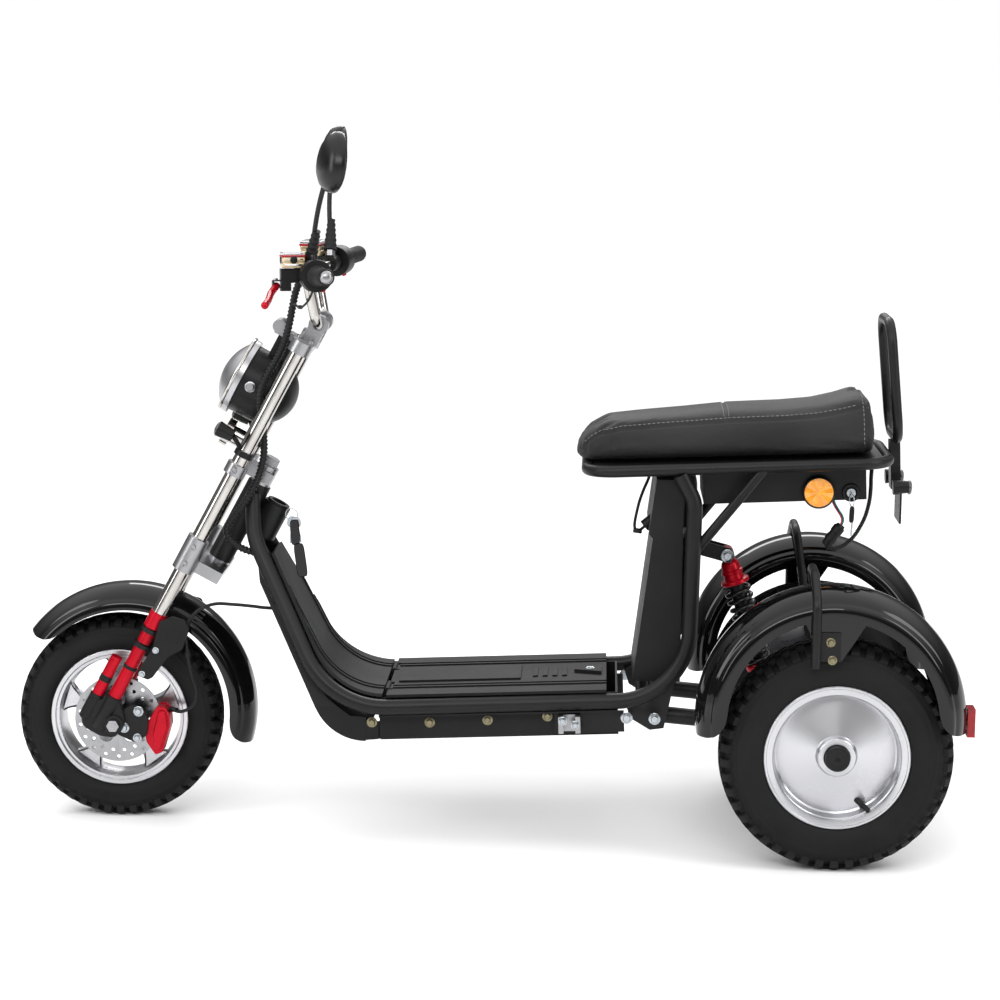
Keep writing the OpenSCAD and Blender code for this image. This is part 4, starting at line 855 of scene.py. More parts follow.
# The seam along each flank: [along, up]; the seams that cross over the top, by their place along
FLANK_SEAM = (
    (12, 30), (4, 46), (-10, 59), (-30, 69), (-70, 77), (-150, 82), (-250, 87), (-292, 89), (-400, 90),
    (-460, 93), (-510, 101), (-558, 112),
)
CROSS_SEAMS = (-281, -558)
SEAM_WIDTH = 4.0
SEAT_BASE = 24
SEAT_VOXEL = 0.006
SWELL_FRAMES = 20
SWELL_PRESSURE = 4.0
RAY_REACH = 400


def seat_shape():
    """The cushion's loft: in each section a rounded box, drawn by powers of the cosine and sine."""
    rows = resampled(np.array(SEAT_STATIONS, float), 90)
    angle = np.linspace(0, 2 * math.pi, 120, endpoint=False)
    across = np.sign(np.cos(angle)) * np.abs(np.cos(angle)) ** 0.55
    upward = np.sign(np.sin(angle)) * np.abs(np.sin(angle)) ** 0.62
    x = np.broadcast_to(rows[:, :1], (len(rows), len(angle)))
    z = (rows[:, 2:3] + rows[:, 3:]) / 2 + (rows[:, 3:] - rows[:, 2:3]) / 2 * upward
    local = np.stack((x, rows[:, 1:2] * across, z), -1)
    return grid(with_ends(placed(local * MM, SEAT)), wrap_v=True)


def in_seat(points):
    """Points in millimetres of the seat's own frame."""
    return (points - SEAT[0]) @ SEAT[1].T / MM


def vertex_array(items, name, count):
    """A vector of each of a mesh's items, as one array."""
    values = np.empty(3 * count)
    items.foreach_get(name, values)
    return values.reshape(-1, 3)


def baked(made):
    """Puts a piece's modifiers into its mesh."""
    mesh = bpy.data.meshes.new_from_object(made.evaluated_get(bpy.context.evaluated_depsgraph_get()))
    made.modifiers.clear()
    made.data = mesh
    return mesh


def swelled(made, cap):
    """Swells a cushion held at its base by cloth pressure, no point moving further than the cap."""
    scene = bpy.context.scene
    start = vertex_array(made.data.vertices, "co", len(made.data.vertices))
    base = made.vertex_groups.new(name="base")
    base.add(np.flatnonzero(in_seat(start)[:, 2] < SEAT_BASE).tolist(), 1.0, "REPLACE")
    cloth = made.modifiers.new("swell", "CLOTH")
    cloth.settings.vertex_group_mass = "base"
    cloth.settings.use_pressure = True
    cloth.settings.uniform_pressure_force = SWELL_PRESSURE
    cloth.settings.effector_weights.gravity = 0.0
    cloth.collision_settings.use_collision = False
    cloth.point_cache.frame_start, cloth.point_cache.frame_end = 1, SWELL_FRAMES
    for step in range(1, SWELL_FRAMES + 1):
        scene.frame_set(step)
    evaluated = made.evaluated_get(bpy.context.evaluated_depsgraph_get()).data
    move = vertex_array(evaluated.vertices, "co", len(evaluated.vertices)) - start
    made.modifiers.clear()
    made.vertex_groups.clear()
    length = np.linalg.norm(move, axis=1, keepdims=True)
    end = start + move * np.minimum(1, cap / np.maximum(length, 1e-9))
    made.data.vertices.foreach_set("co", end.ravel())
    scene.frame_set(1)


def groove(distance):
    """A seam's draw at a distance in millimetres: a soft notch with a slight roll on both sides."""
    return np.exp(-((distance / SEAM_WIDTH) ** 2)) - 0.25 * np.exp(-(((np.abs(distance) - 9) / 5) ** 2))


def flank_height(along):
    """The flank seam's height at a place along the seat."""
    seam = np.array(FLANK_SEAM, float)[::-1]
    return np.interp(along, seam[:, 0], seam[:, 1])


def cover_line(tree, starts, ways):
    """Where rays sent inwards meet the cushion's cover, and its normals there."""
    hits = [tree.ray_cast(Vector(start), Vector(way)) for start, way in zip(starts.tolist(), ways.tolist())]
    return np.array([hit[0] for hit in hits]), np.array([hit[1] for hit in hits])


def stitches(line, normals, length=0.0062, gap=0.0034, radius=0.0007):
    """Dashes of thread along a line on the cover: each a six-sided bar with drawn-in ends, half sunk."""
    along = np.concatenate(((0,), np.cumsum(np.linalg.norm(np.diff(line, axis=0), axis=1))))
    begin = np.arange(int(along[-1] // (length + gap))) * (length + gap)
    s = begin[:, None] + np.array((0, 0.12, 0.88, 1.0)) * length
    spot = np.stack([np.interp(s, along, line[:, k]) for k in range(3)], -1)
    out = unit(np.stack([np.interp(s, along, normals[:, k]) for k in range(3)], -1))
    side = unit(np.cross(out, np.gradient(spot, axis=1)))
    ring = circle(radius, 6)[None, None] * np.array((0.35, 1, 1, 0.35))[None, :, None, None]
    lift = ring[..., 1:] + radius * 0.4
    points = spot[:, :, None] + ring[..., :1] * side[:, :, None] + lift * out[:, :, None]
    return joined([grid(with_ends(dash), wrap_v=True) for dash in points])


class SCOOTER_OT_seat(bpy.types.Operator):
    """Adds the padded seat with its seams and stitching."""

    bl_idname = "scooter.seat"
    bl_label = "Seat"

    def execute(self, context):
        cushion = piece("seat_cushion", seat_shape(), "seat vinyl", "chassis", ("seat",), sharp=180)
        remesh = cushion.modifiers.new("even", "REMESH")
        remesh.mode, remesh.voxel_size, remesh.use_smooth_shade = "VOXEL", SEAT_VOXEL, True
        baked(cushion)
        swelled(cushion, sizes().seat_swell)
        smooth = cushion.modifiers.new("smooth", "SUBSURF")
        smooth.levels = smooth.render_levels = 1
        mesh = baked(cushion)
        count = len(mesh.vertices)
        points = vertex_array(mesh.vertices, "co", count)
        normals = vertex_array(mesh.vertex_normals, "vector", count)
        along, across, up = in_seat(points).T
        flank = flank_height(along)
        draw = groove(up - flank) * (np.abs(across) > 40) * (along > -566)
        for place in CROSS_SEAMS:
            draw = np.maximum(draw, groove(along - place) * (up > (flank if place > -500 else 16)))
        mesh.vertices.foreach_set("co", (points - normals * draw[:, None] * sizes().seam_depth).ravel())
        mesh.update()
        mesh.materials.clear()
        mesh.materials.append(look("seat vinyl"))

        tree = BVHTree.FromObject(cushion, bpy.context.evaluated_depsgraph_get())
        rows = []
        x = np.linspace(4, -548, 160)
        flat = np.zeros_like(x)
        for side in (1.0, -1.0):
            start = placed(MM * np.stack((x, flat + RAY_REACH * side, flank_height(x) + 6), -1), SEAT)
            rows.append(cover_line(tree, start, np.broadcast_to(-side * ACROSS, start.shape)))
        for place, reach in ((CROSS_SEAMS[0] - 5, 66), (CROSS_SEAMS[0] + 5, 66), (CROSS_SEAMS[1] + 6, 96)):
            turn = np.radians(np.linspace(-reach, reach, 120))
            way = np.stack((0 * turn, np.sin(turn), np.cos(turn)), -1)
            start = placed(MM * (np.array((place, 0, 45)) + RAY_REACH * way), SEAT)
            rows.append(cover_line(tree, start, placed(-way, (np.zeros(3), SEAT[1]))))
        thread = joined([stitches(*row) for row in rows])
        piece("seat_stitching", thread, "grey thread", "chassis")
        return {"FINISHED"}


# Cords: points in millimetres, [behind the front axle, across, up]

LOOM = (
    (381, 62, 1130), (377, 60, 1114), (372, 60, 1100), (366, 62, 1070), (358, 64, 1030), (346, 66, 990),
    (334, 70, 965), (322, 76, 945), (310, 82, 922), (303, 86, 902), (302, 80, 877), (303, 68, 850),
    (307, 62, 806), (306, 62, 765), (296, 64, 726), (282, 66, 696), (262, 64, 664), (242, 62, 640),
    (230, 62, 617), (236, 62, 596), (252, 62, 582), (271, 63, 573), (290, 60, 568), (306, 55, 566),
)
HOSE = (
    (109, 70, 236), (118, 74, 239), (129, 80, 236), (143, 85, 239), (157, 89, 248), (167, 93, 263),
    (170, 95, 281), (168, 97, 296), (163, 98, 312), (155, 100, 350), (150, 100, 391), (150, 100, 412),
    (158, 98, 434), (178, 94, 454), (208, 88, 465), (245, 80, 463), (284, 75, 459), (304, 72, 456),
    (326, 68, 454),
)
CHARGE = (
    (1096, 50, 764), (1094, 50, 750), (1088, 50, 730), (1079, 50, 708), (1071, 50, 684), (1066, 50, 662),
    (1063, 50, 646), (1062, 50, 634), (1064, 50, 627), (1069, 50, 624), (1075, 50, 627), (1082, 50, 633),
)
HARNESS = (
    (1538, 60, 784), (1538, 60, 764), (1537, 60, 742), (1537, 60, 720), (1535, 60, 694),
    (1528, 60, 664), (1517, 60, 639), (1505, 60, 620), (1491, 60, 606), (1478, 60, 598),
    (1464, 60, 595), (1453, 60, 598), (1450, 60, 606),
)
WIRES = (
    (1478, 60, 640), (1482, 60, 652), (1480, 60, 662), (1473, 60, 673), (1465, 60, 686),
    (1460, 60, 700),
)
PLUG = ((1449, 60, 602), (1480, 60, 644))
SWITCH_LEAD = (
    (424, 212, 1118), (414, 196, 1098), (398, 160, 1082), (384, 120, 1078), (374, 86, 1080),
    (368, 66, 1076),
)


def route(rows, count):
    """A cord's middle line in metres."""
    return smooth_curve([at(*row) for row in rows], count)


def ribbed_sleeve(rows, diameter, pitch):
    """A ribbed sleeve: a circle carried along the cord, its radius rising and falling in each pitch."""
    length = np.linalg.norm(np.diff(route(rows, 400), axis=0), axis=1).sum()
    ribs = int(length / pitch)
    path = route(rows, 6 * ribs + 1)
    wave = np.cos(np.linspace(0, 2 * math.pi * ribs, len(path)))
    scale = diameter / 2 - diameter * 0.1 * (1 - np.clip(1.6 * wave, -1, 1)) / 2
    return sweep(path, circle(1.0, 18), ACROSS, scale)


def cord(rows, diameter, shift=(0, 0, 0), count=90):
    """A plain cord: a circle carried along its middle line."""
    return sweep(route(rows, count) + np.array(shift) * MM, circle(diameter / 2, 14), ACROSS)


def collar(line, where, radius, length):
    """A crimped collar on a cord, at a share of its length."""
    spot = int(where * (len(line) - 1))
    way = line[min(spot + 1, len(line) - 1)] - line[max(spot - 1, 0)]
    end, edge = length / 2, length / 2.4
    rows = ((radius * 0.8, -end), (radius, -edge), (radius, edge), (radius * 0.8, end))
    return turned(rows, 24, about(line[spot], way))


class SCOOTER_OT_cords(bpy.types.Operator):
    """Adds the loom, the brake hose, the charge lead and the rear harness."""

    bl_idname = "scooter.cords"
    bl_label = "Cords"

    def execute(self, context):
        pitch = sizes().loom_pitch
        loom = piece("loom_sleeve", ribbed_sleeve(LOOM, 0.016, pitch), "cord sleeve", None, ("loom",), 60)
        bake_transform(loom)
        line = route(HOSE, 120)
        ferrules = [collar(line, share, 0.0052, 0.016) for share in (0.03, 0.42)]
        hose = piece(
            "brake_hose_line", joined([cord(HOSE, 0.007, count=140)] + ferrules), "cord sleeve", None,
            ("brake_hose",), 50,
        )
        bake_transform(hose)
        line = route(CHARGE, 80)
        lead = joined((cord(CHARGE, 0.006), collar(line, 0.9, 0.0052, 0.018)))
        piece("charge_cord", lead, "cord sleeve", "chassis", ("charge_lead",), 50)
        low, high = at(*PLUG[0]), at(*PLUG[1])
        reach = np.linalg.norm(high - low)
        barrel = (
            (0.009, 0), (0.0105, 0.002), (0.0105, 0.012), (0.0122, 0.013), (0.0122, 0.024), (0.011, 0.025),
            (0.011, 0.032), (0.0122, 0.033), (0.0122, 0.046), (0.0095, 0.048), (0.0085, reach),
        )
        plug = turned(barrel, 28, about(low, high - low))
        harness = joined((ribbed_sleeve(HARNESS, 0.009, 0.0034), plug))
        piece("harness_sleeve", harness, "cord sleeve", "chassis", ("rear_harness",), 50)
        for name, shift, material in (
            ("red", (2, 2, 0), "red wire"),
            ("teal", (-2, 2, 1), "teal wire"),
            ("black", (0, -2, 0), "cord sleeve"),
        ):
            piece("wire_" + name, cord(WIRES, 0.0028, shift, 50), material, "chassis")
        lead = joined((cord(SWITCH_LEAD, 0.0045), collar(route(SWITCH_LEAD, 60), 0.55, 0.004, 0.02)))
        piece("switch_lead", lead, "cord sleeve", "steering")
        return {"FINISHED"}


# Cockpit

GRIP_END = at(464, 347, 1154)
GRIP_WAY = unit(GRIP_END - at(397, 90, 1140))
GRIP_UP = unit(UP - GRIP_WAY * (GRIP_WAY @ UP))
GRIP_AHEAD = np.cross(GRIP_WAY, GRIP_UP)


def on_grip(inboard, ahead=0.0, up=0.0):
    """A point by the left grip, in millimetres in from its end, ahead and up."""
    return GRIP_END + MM * (ahead * GRIP_AHEAD + up * GRIP_UP - inboard * GRIP_WAY)


def tilted_box(size, radius, inboard, ahead, up):
    """A rounded box square to the left grip: [ahead, up, along the grip] in millimetres."""
    place = (on_grip(inboard, ahead, up), np.array((GRIP_AHEAD, GRIP_UP, GRIP_WAY)))
    return rounded_box(np.array(size) * MM, radius * MM, place)


class SCOOTER_OT_cockpit(bpy.types.Operator):
    """Adds the grips, bar ends, switch cowls, reservoirs and their fittings."""

    bl_idname = "scooter.cockpit"
    bl_label = "Cockpit"

    def execute(self, context):
        place = about(GRIP_END, GRIP_WAY)
        ribs = [
            (radius, -0.099 + 0.0056 * step + offset)
            for step in range(17)
            for radius, offset in ((0.0163, 0), (0.0172, 0.0008), (0.0172, 0.0036), (0.0163, 0.0044))
        ]
        flange = [
            (0.0115, -0.1115), (0.0205, -0.1115), (0.0212, -0.1095), (0.0205, -0.1065),
            (0.0165, -0.1045),
        ]
        grip = turned(flange + ribs + [(0.0163, -0.002), (0.0148, 0.0), (0.0115, 0.0)], 48, place)
        piece("grip_sleeves", both_sides(grip), "grip rubber", "steering", ("grips",), 40)
        dome = (
            (0.0125, -0.001), (0.0128, 0.003), (0.0121, 0.006), (0.0105, 0.0088), (0.0075, 0.0108),
            (0.004, 0.0118),
        )
        piece("bar_ends", both_sides(turned(dome, 40, place)), "bright alloy", "steering")
        cowl = (
            (0.0315, -0.151), (0.0322, -0.146), (0.0322, -0.132), (0.0318, -0.13), (0.0322, -0.128),
            (0.0308, -0.121), (0.0272, -0.1155), (0.0225, -0.1125),
        )
        piece("switch_cowls", both_sides(turned(cowl, 56, place)), "fine black plastic", "steering")
        button = ((0.0048, -0.004), (0.0048, 0.003), (0.0038, 0.0044), (0.002, 0.0048))
        way = -0.55 * GRIP_AHEAD - GRIP_UP
        button = turned(button, 24, about(on_grip(139) + 0.0305 * unit(way), way))
        piece("switch_buttons", both_sides(button), "red metallic", "steering")

        bracket = tilted_box((28, 16, 22), 3, 176, 66, -16)
        piece("lever_brackets", both_sides(bracket), "fine black plastic", "steering")
        pin = ((0.0045, 0), (0.0045, 0.002), (0.0032, 0.0036))
        pivot = turned(pin, 24, about(on_grip(176, 73, -8.2), GRIP_UP))
        piece("lever_pivots", both_sides(pivot), "zinc plate", "steering")

        cups = (tilted_box((44, 12, 42), 4, 175, 40, 21), tilted_box((45, 11, 43), 4.5, 175, 40, 32))
        cups = both_sides(joined(cups))
        piece("reservoir_cups", cups, "tinted reservoir", "steering", ("fluid_reservoirs",), 45)
        hoop = tilted_box((46, 4.5, 44), 1.8, 175, 40, 38.5)
        piece("reservoir_bands", both_sides(hoop), "red metallic", "steering")
        lid = tilted_box((45, 7, 43), 2.6, 175, 40, 43)
        piece("reservoir_lids", both_sides(lid), "smoky clear", "steering")
        pane = ((0.0072, 0), (0.0072, 0.0014), (0.0058, 0.002))
        spots = ((on_grip(175, 62.3, 31), GRIP_AHEAD), (on_grip(153.7, 40, 31), GRIP_WAY))
        panes = joined([turned(pane, 28, about(spot, way)) for spot, way in spots])
        piece("reservoir_windows", both_sides(panes), "fine black plastic", "steering")
        return {"FINISHED"}


# Mirrors

# The left mirror's place and the right one's, as if on the left; their turns, each given on its own
MIRRORS_AT = (at(464, 243, 1369), at(420, 243, 1371))
MIRROR_TURNS = (24, 9)
MIRROR_HALF = (54, 60)
MIRROR_TAPER = 0.14
# Rings of a mirror's shell from its glass to its back: [share of the outline, ahead]
MIRROR_SHELL = (
    (0.88, -12), (0.9, -14), (0.94, -14.4), (0.985, -12.5), (1, -9), (0.97, 2), (0.82, 13), (0.6, 20),
    (0.3, 24),
)
MIRROR_GLASS = ((0.875, -11), (0.875, -12.6), (0.86, -13.0), (0.5, -13.2), (0.1, -13.3))


def mirror_frame(spot, turn):
    """A left mirror's frame: x out of its back, turned outward and leant 8 degrees."""
    turn, lean = math.radians(turn), math.radians(-8)
    x = np.array((math.cos(turn) * math.cos(lean), math.sin(turn) * math.cos(lean), -math.sin(lean)))
    y = np.array((-math.sin(turn), math.cos(turn), 0))
    return spot, np.array((x, y, np.cross(x, y)))


def mirror_rows(rings, spot, turn):
    """Part of a left mirror: an ellipse that narrows upwards, scaled and set ahead ring by ring."""
    angle = np.linspace(0, 2 * math.pi, 72, endpoint=False)
    across = MIRROR_HALF[0] * np.cos(angle) * (1 - MIRROR_TAPER * np.sin(angle))
    rings = np.array(rings)
    share, ahead = rings[:, :1], np.broadcast_to(rings[:, 1:], (len(rings), len(angle)))
    rows = MM * np.stack((ahead, share * across, share * MIRROR_HALF[1] * np.sin(angle)), -1)
    return grid(placed(with_ends(rows), mirror_frame(spot, turn)), wrap_v=True)


class SCOOTER_OT_mirrors(bpy.types.Operator):
    """Adds the mirrors: shells, stems, glasses and boots."""

    bl_idname = "scooter.mirrors"
    bl_label = "Mirrors"

    def execute(self, context):
        foot = on_grip(175, 0, 50)
        shells, glasses, boots, nuts = [], [], [], []
        for spot, turn, flip in zip(MIRRORS_AT, MIRROR_TURNS, (1, -1)):
            way = spot - foot
            sag = 0.006 * np.sin(np.linspace(0, math.pi, 24))[:, None] * AHEAD
            stem = sweep(foot + np.linspace(0, 1, 24)[:, None] * way + sag, circle(0.005, 16), ACROSS)
            post = ((0.009, 0.0182), (0.009, 0.054), (0.0075, 0.056))
            boss = turned(post, 32, about(on_grip(175), GRIP_UP))
            steps = np.linspace(0, 1, 29)
            radius = 0.0138 - 0.0062 * steps + 0.0009 * np.cos(steps * 12 * math.pi)
            boot = turned(np.stack((radius, -0.024 + 0.066 * steps), -1), 36, about(foot, way))
            nut = turned(((0.0105, -0.038), (0.0105, -0.026)), 6, about(foot, way))
            side = np.array((1, flip, 1))
            for group, shape in (
                (shells, mirror_rows(MIRROR_SHELL, spot, turn)), (shells, stem), (shells, boss),
                (glasses, mirror_rows(MIRROR_GLASS, spot, turn)), (boots, boot), (nuts, nut),
            ):
                group.append((shape[0] * side, shape[1]))
        piece("mirror_shells", joined(shells), "mirror shell", "steering", ("mirrors",), 50)
        piece("mirror_glasses", joined(glasses), "mirror glass", "steering", sharp=50)
        piece("mirror_boots", joined(boots), "grip rubber", "steering", sharp=60)
        piece("mirror_nuts", joined(nuts), "machined steel", "steering")
        return {"FINISHED"}


# Lamps


def dome_rows(radius, height, skirt):
    """A lens's profile: a short skirt, then a quarter of an ellipse to the axis."""
    turn = np.linspace(0, 0.97 * math.pi / 2, 9)
    return np.vstack(([[radius, -skirt]], np.stack((radius * np.cos(turn), height * np.sin(turn)), -1)))


class SCOOTER_OT_lamps(bpy.types.Operator):
    """Adds the lamp's bezel and bolts, the signals' lenses and the faceted side reflectors."""

    bl_idname = "scooter.lamps"
    bl_label = "Lamps"

    def execute(self, context):
        face = on_fork(118, 0, 748)
        bezel = torus(0.0788, 0.0042, about(face, FORK_AHEAD))
        piece("lamp_bezel", bezel, "polished tube", "steering")
        bolt = ((0.011, -0.002), (0.011, 0.003), (0.0085, 0.004), (0.0085, 0.008), (0.007, 0.0095))
        spot = about(at(281, 70.5, 910), ACROSS)
        piece("lamp_bolts", both_sides(turned(bolt, 28, spot)), "bright alloy", "steering")
        ahead = turned(dome_rows(0.0152, 0.006, 0.003), 36, about(on_fork(94, 129, 653), FORK_AHEAD))
        piece("front_signal_lenses", both_sides(ahead), "smoked lens", "steering")
        back = turned(dome_rows(0.0142, 0.005, 0.003), 36, about(at(1613.5, 75, 725), (-1, 0, 0)))
        piece("rear_signal_lenses", both_sides(back), "smoked lens", "chassis")

        low, high = (np.array(corner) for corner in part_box("side_reflectors"))
        middle = (low + high) / 2
        place = about((middle[0], high[1], middle[2]), ACROSS)
        radius = (high[0] - low[0]) / 2
        cup = (
            (radius + 0.0022, -0.013), (radius + 0.0026, 0.0), (radius + 0.001, 0.0022),
            (radius - 0.0012, 0.0012), (radius - 0.0014, -0.002),
        )
        piece("reflector_cups", both_sides(turned(cup, 64, place)), "fine black plastic", "chassis")
        turn = np.linspace(0, 2 * math.pi, 96, endpoint=False)
        reach = np.linspace(1.0, 0.04, 9)[:, None] * (radius - 0.0012)
        sector = turn / (math.pi / 4) % 1.0
        lift = 0.0004 + 0.0022 * np.abs(sector - 0.5)[None] * (reach / radius) + 0 * turn[None]
        rows = np.stack((reach * np.cos(turn), reach * np.sin(turn), lift), -1)
        lens = grid(placed(with_ends(rows), place), wrap_v=True)
        piece("reflector_lenses", both_sides(lens), "amber lens", "chassis", ("side_reflectors",), 8)
        return {"FINISHED"}


# Keys and locks

DECK_TILT = math.radians(2.448)
LID_HINGE = at(565, 0, 276.83)
KEYHOLE_BACK = 0.413
KEYHOLE_UP = 0.0306


def slab(width, height, power, count=48):
    """A rounded outline: a superellipse, squarer as its power falls."""
    ring = circle(1.0, count)
    return np.sign(ring) * np.abs(ring) ** power * (width / 2, height / 2)


def hung(spot, width, height, thickness, lean=0.0, power=0.5):
    """A flat plate hung below a spot, its face to the left, leant along the scooter."""
    lean = math.radians(lean)
    ahead = np.array((math.cos(lean), 0, math.sin(lean)))
    up = np.array((-math.sin(lean), 0, math.cos(lean)))
    place = (spot - up * height / 2, np.array((-ahead, up, ACROSS)))
    return plate(slab(width, height, power), thickness, thickness * 0.3, place)


class SCOOTER_OT_keys(bpy.types.Operator):
    """Adds the ignition's bunch of keys, the battery case's lock and the deck lid's keyhole."""

    bl_idname = "scooter.keys"
    bl_label = "Keys"

    def execute(self, context):
        hook = at(360, 36, 656)
        ring = torus(0.013, 0.001, about(hook - 0.012 * UP, ACROSS + 0.2 * AHEAD))
        keys = [
            hung(at(362, 33, 640), 0.020, 0.024, 0.0022, 6, 0.8),
            hung(at(362.5, 33.2, 618), 0.008, 0.034, 0.0018, 6, 0.25),
            hung(at(368, 39, 640), 0.019, 0.023, 0.0022, -10, 0.8),
            hung(at(372, 39.2, 619), 0.0075, 0.032, 0.0018, -10, 0.25),
        ]
        piece("ignition_keys", joined([ring] + keys), "zinc plate", "chassis")
        tags = [
            hung(at(366, 42, 634), 0.019, 0.052, 0.004, -4, 0.4),
            hung(at(375, 46, 586), 0.022, 0.07, 0.004, -8, 0.4),
        ]
        piece("ignition_tags", joined(tags), "gloss black paint", "chassis")
        lug = torus(0.007, 0.0009, about(at(371, 45, 587), ACROSS))
        piece("ignition_tag_ring", lug, "zinc plate", "chassis")

        lock = about(at(1493, 105, 718), ACROSS)
        hood = (
            (0.0185, -0.002), (0.0185, 0.004), (0.017, 0.0065), (0.0125, 0.007), (0.0115, 0.003),
            (0.002, 0.003),
        )
        piece("case_lock_hood", turned(hood, 48, lock), "fine black plastic", "chassis")
        barrel = ((0.0095, 0.002), (0.0095, 0.0085), (0.0088, 0.0095), (0.002, 0.0095))
        bow = (at(1493, 128, 718), np.array((ACROSS, UP, np.cross(ACROSS, UP))))
        key = plate(slab(0.02, 0.009, 0.6), 0.0022, 0.0006, bow)
        ring = torus(0.0125, 0.0009, about(at(1493, 131, 706), (1, 0.3, 0)))
        blade = hung(at(1495, 131, 664), 0.0036, 0.03, 0.0016, 4, 0.3)
        piece("case_lock", joined((turned(barrel, 40, lock), key, ring, blade)), "zinc plate", "chassis")
        fob = hung(at(1494, 129.5, 694), 0.010, 0.033, 0.006, 2, 0.5)
        piece("case_lock_fob", fob, "fine black plastic", "chassis")

        deck_up = np.array((math.sin(DECK_TILT), 0, math.cos(DECK_TILT)))
        deck_ahead = np.array((math.cos(DECK_TILT), 0, -math.sin(DECK_TILT)))
        hole = LID_HINGE - KEYHOLE_BACK * deck_ahead + KEYHOLE_UP * deck_up
        rim = (
            (0.0098, 0.0), (0.0096, 0.0016), (0.008, 0.0022), (0.0065, 0.0016), (0.006, 0.0004),
            (0.001, 0.0003),
        )
        piece("lid_keyhole", turned(rim, 40, about(hole, deck_up)), "zinc plate", "deck_lid")
        return {"FINISHED"}


# Fasteners

# The plate that joins the front skirt to the tray's skirt, and its lip: [behind the front axle, up, radius]
SKIRT_JOINT = ((523, 204, 1), (551, 206.5, 1), (551, 243, 1), (523, 241, 1))
SKIRT_LIP = ((545, 206.5, 1), (568, 207.5, 1), (568, 244, 1), (545, 243, 1))
# Bolts with their heads facing left: [behind the front axle, across, up, radius]
SKIRT_BOLTS = ((537, 164, 242, 7), (654, 164, 244, 7), (771, 164, 251, 7), (892, 164, 261, 7))
FRAME_BOLTS = ((1051, 194.6, 268, 8), (1107, 194.6, 267, 8))
HINGE_BOLTS = ((923, 200, 260, 6), (948, 200, 252, 6))
TAB_BOLTS = ((1438, 371, 467, 6), (1442, 371, 432, 6))
SHOCK_BOLTS = ((1253, 30, 571, 9), (1340, 30, 300, 9))
BRACKET_BOLTS = ((90, 116, 372, 4.5), (61, 116, 322, 4.5))
CALIPER_BOLTS = ((50, 97, 239, 7), (20, 97, 204, 7), (47, 97, 183, 6))


def bolts(rows):
    """Domed washers with six-sided heads, one at each place."""
    made = []
    for back, across, up, radius in rows:
        place = about(at(back, across, up), ACROSS)
        r = radius * MM
        made.append(turned(((1.5 * r, -0.0008), (1.5 * r, 0.0012), (1.35 * r, 0.0018)), 32, place))
        made.append(turned(((r, 0), (r, 0.8 * r), (0.85 * r, 1.0 * r), (0.3 * r, 1.0 * r)), 6, place))
    return joined(made)


def socket_screws(spots, way, radius, height):
    """Round heads with a round hollow, standing along one way at each spot."""
    head = ((1.0, 0.0), (1.0, 0.86), (0.9, 1.0), (0.55, 1.0))
    hollow = ((0.55, 1.0), (0.52, 0.5), (0.05, 0.5))
    scale = np.array((radius, height))
    return joined(
        [turned(np.array(head) * scale, 28, about(spot, way), closed=False) for spot in spots]
        + [turned(np.array(hollow) * scale, 28, about(spot, way), closed=False) for spot in spots]
    )


def band(origin, low, high, inner, outer, count):
    """A strap round a fork leg between two heights, its edges drawn in: open rings, in millimetres."""
    rows = np.array(((inner, low), (outer, low + 1), (outer, high - 1), (inner, high))) * MM
    return turned(rows, count, about(origin, FORK_UP), closed=False)


class SCOOTER_OT_fasteners(bpy.types.Operator):
    """Adds the bolts, screws and bands that show."""

    bl_idname = "scooter.fasteners"
    bl_label = "Fasteners"

    def execute(self, context):
        brass = joined((both_sides(bolts(SKIRT_BOLTS)), both_sides(bolts(TAB_BOLTS))))
        piece("brass_bolts", brass, "yellow zinc", "chassis")
        joint = (side_plate(SKIRT_JOINT, 158, 163, 0.0008), side_plate(SKIRT_LIP, 156, 159.6, 0.0008))
        piece("skirt_joints", both_sides(joined(joint)), "moulded black plastic", "chassis")
        zinc = joined([both_sides(bolts(rows)) for rows in (FRAME_BOLTS, HINGE_BOLTS, SHOCK_BOLTS)])
        piece("frame_bolts", zinc, "zinc plate", "chassis")
        steering = joined((both_sides(bolts(BRACKET_BOLTS)), bolts(CALIPER_BOLTS)))
        piece("fork_bolts", steering, "zinc plate", "steering")
        tops = [on_fork(26 + ahead, y, 885) for ahead in (-13, 13) for y in (70, -70)]
        sides = [on_fork(26, 117.6, z) for z in (372, 410, 590)]
        upright = socket_screws(tops, FORK_UP, 0.0055, 0.005)
        level = both_sides(socket_screws(sides, ACROSS, 0.006, 0.006))
        piece("yoke_screws", joined((upright, level)), "machined steel", "steering")
        leg, can = on_fork(26, 95, 0), on_fork(60, 95, 0)
        bands = [band(leg, low, low + 8, 13.9, 15.2, 48) for low in (118, 173)]
        bands.append(band(can, 70, 84, 11.8, 12.8, 40))
        piece("slider_bands", both_sides(joined(bands)), "fine black plastic", "steering")
        return {"FINISHED"}


# Stage


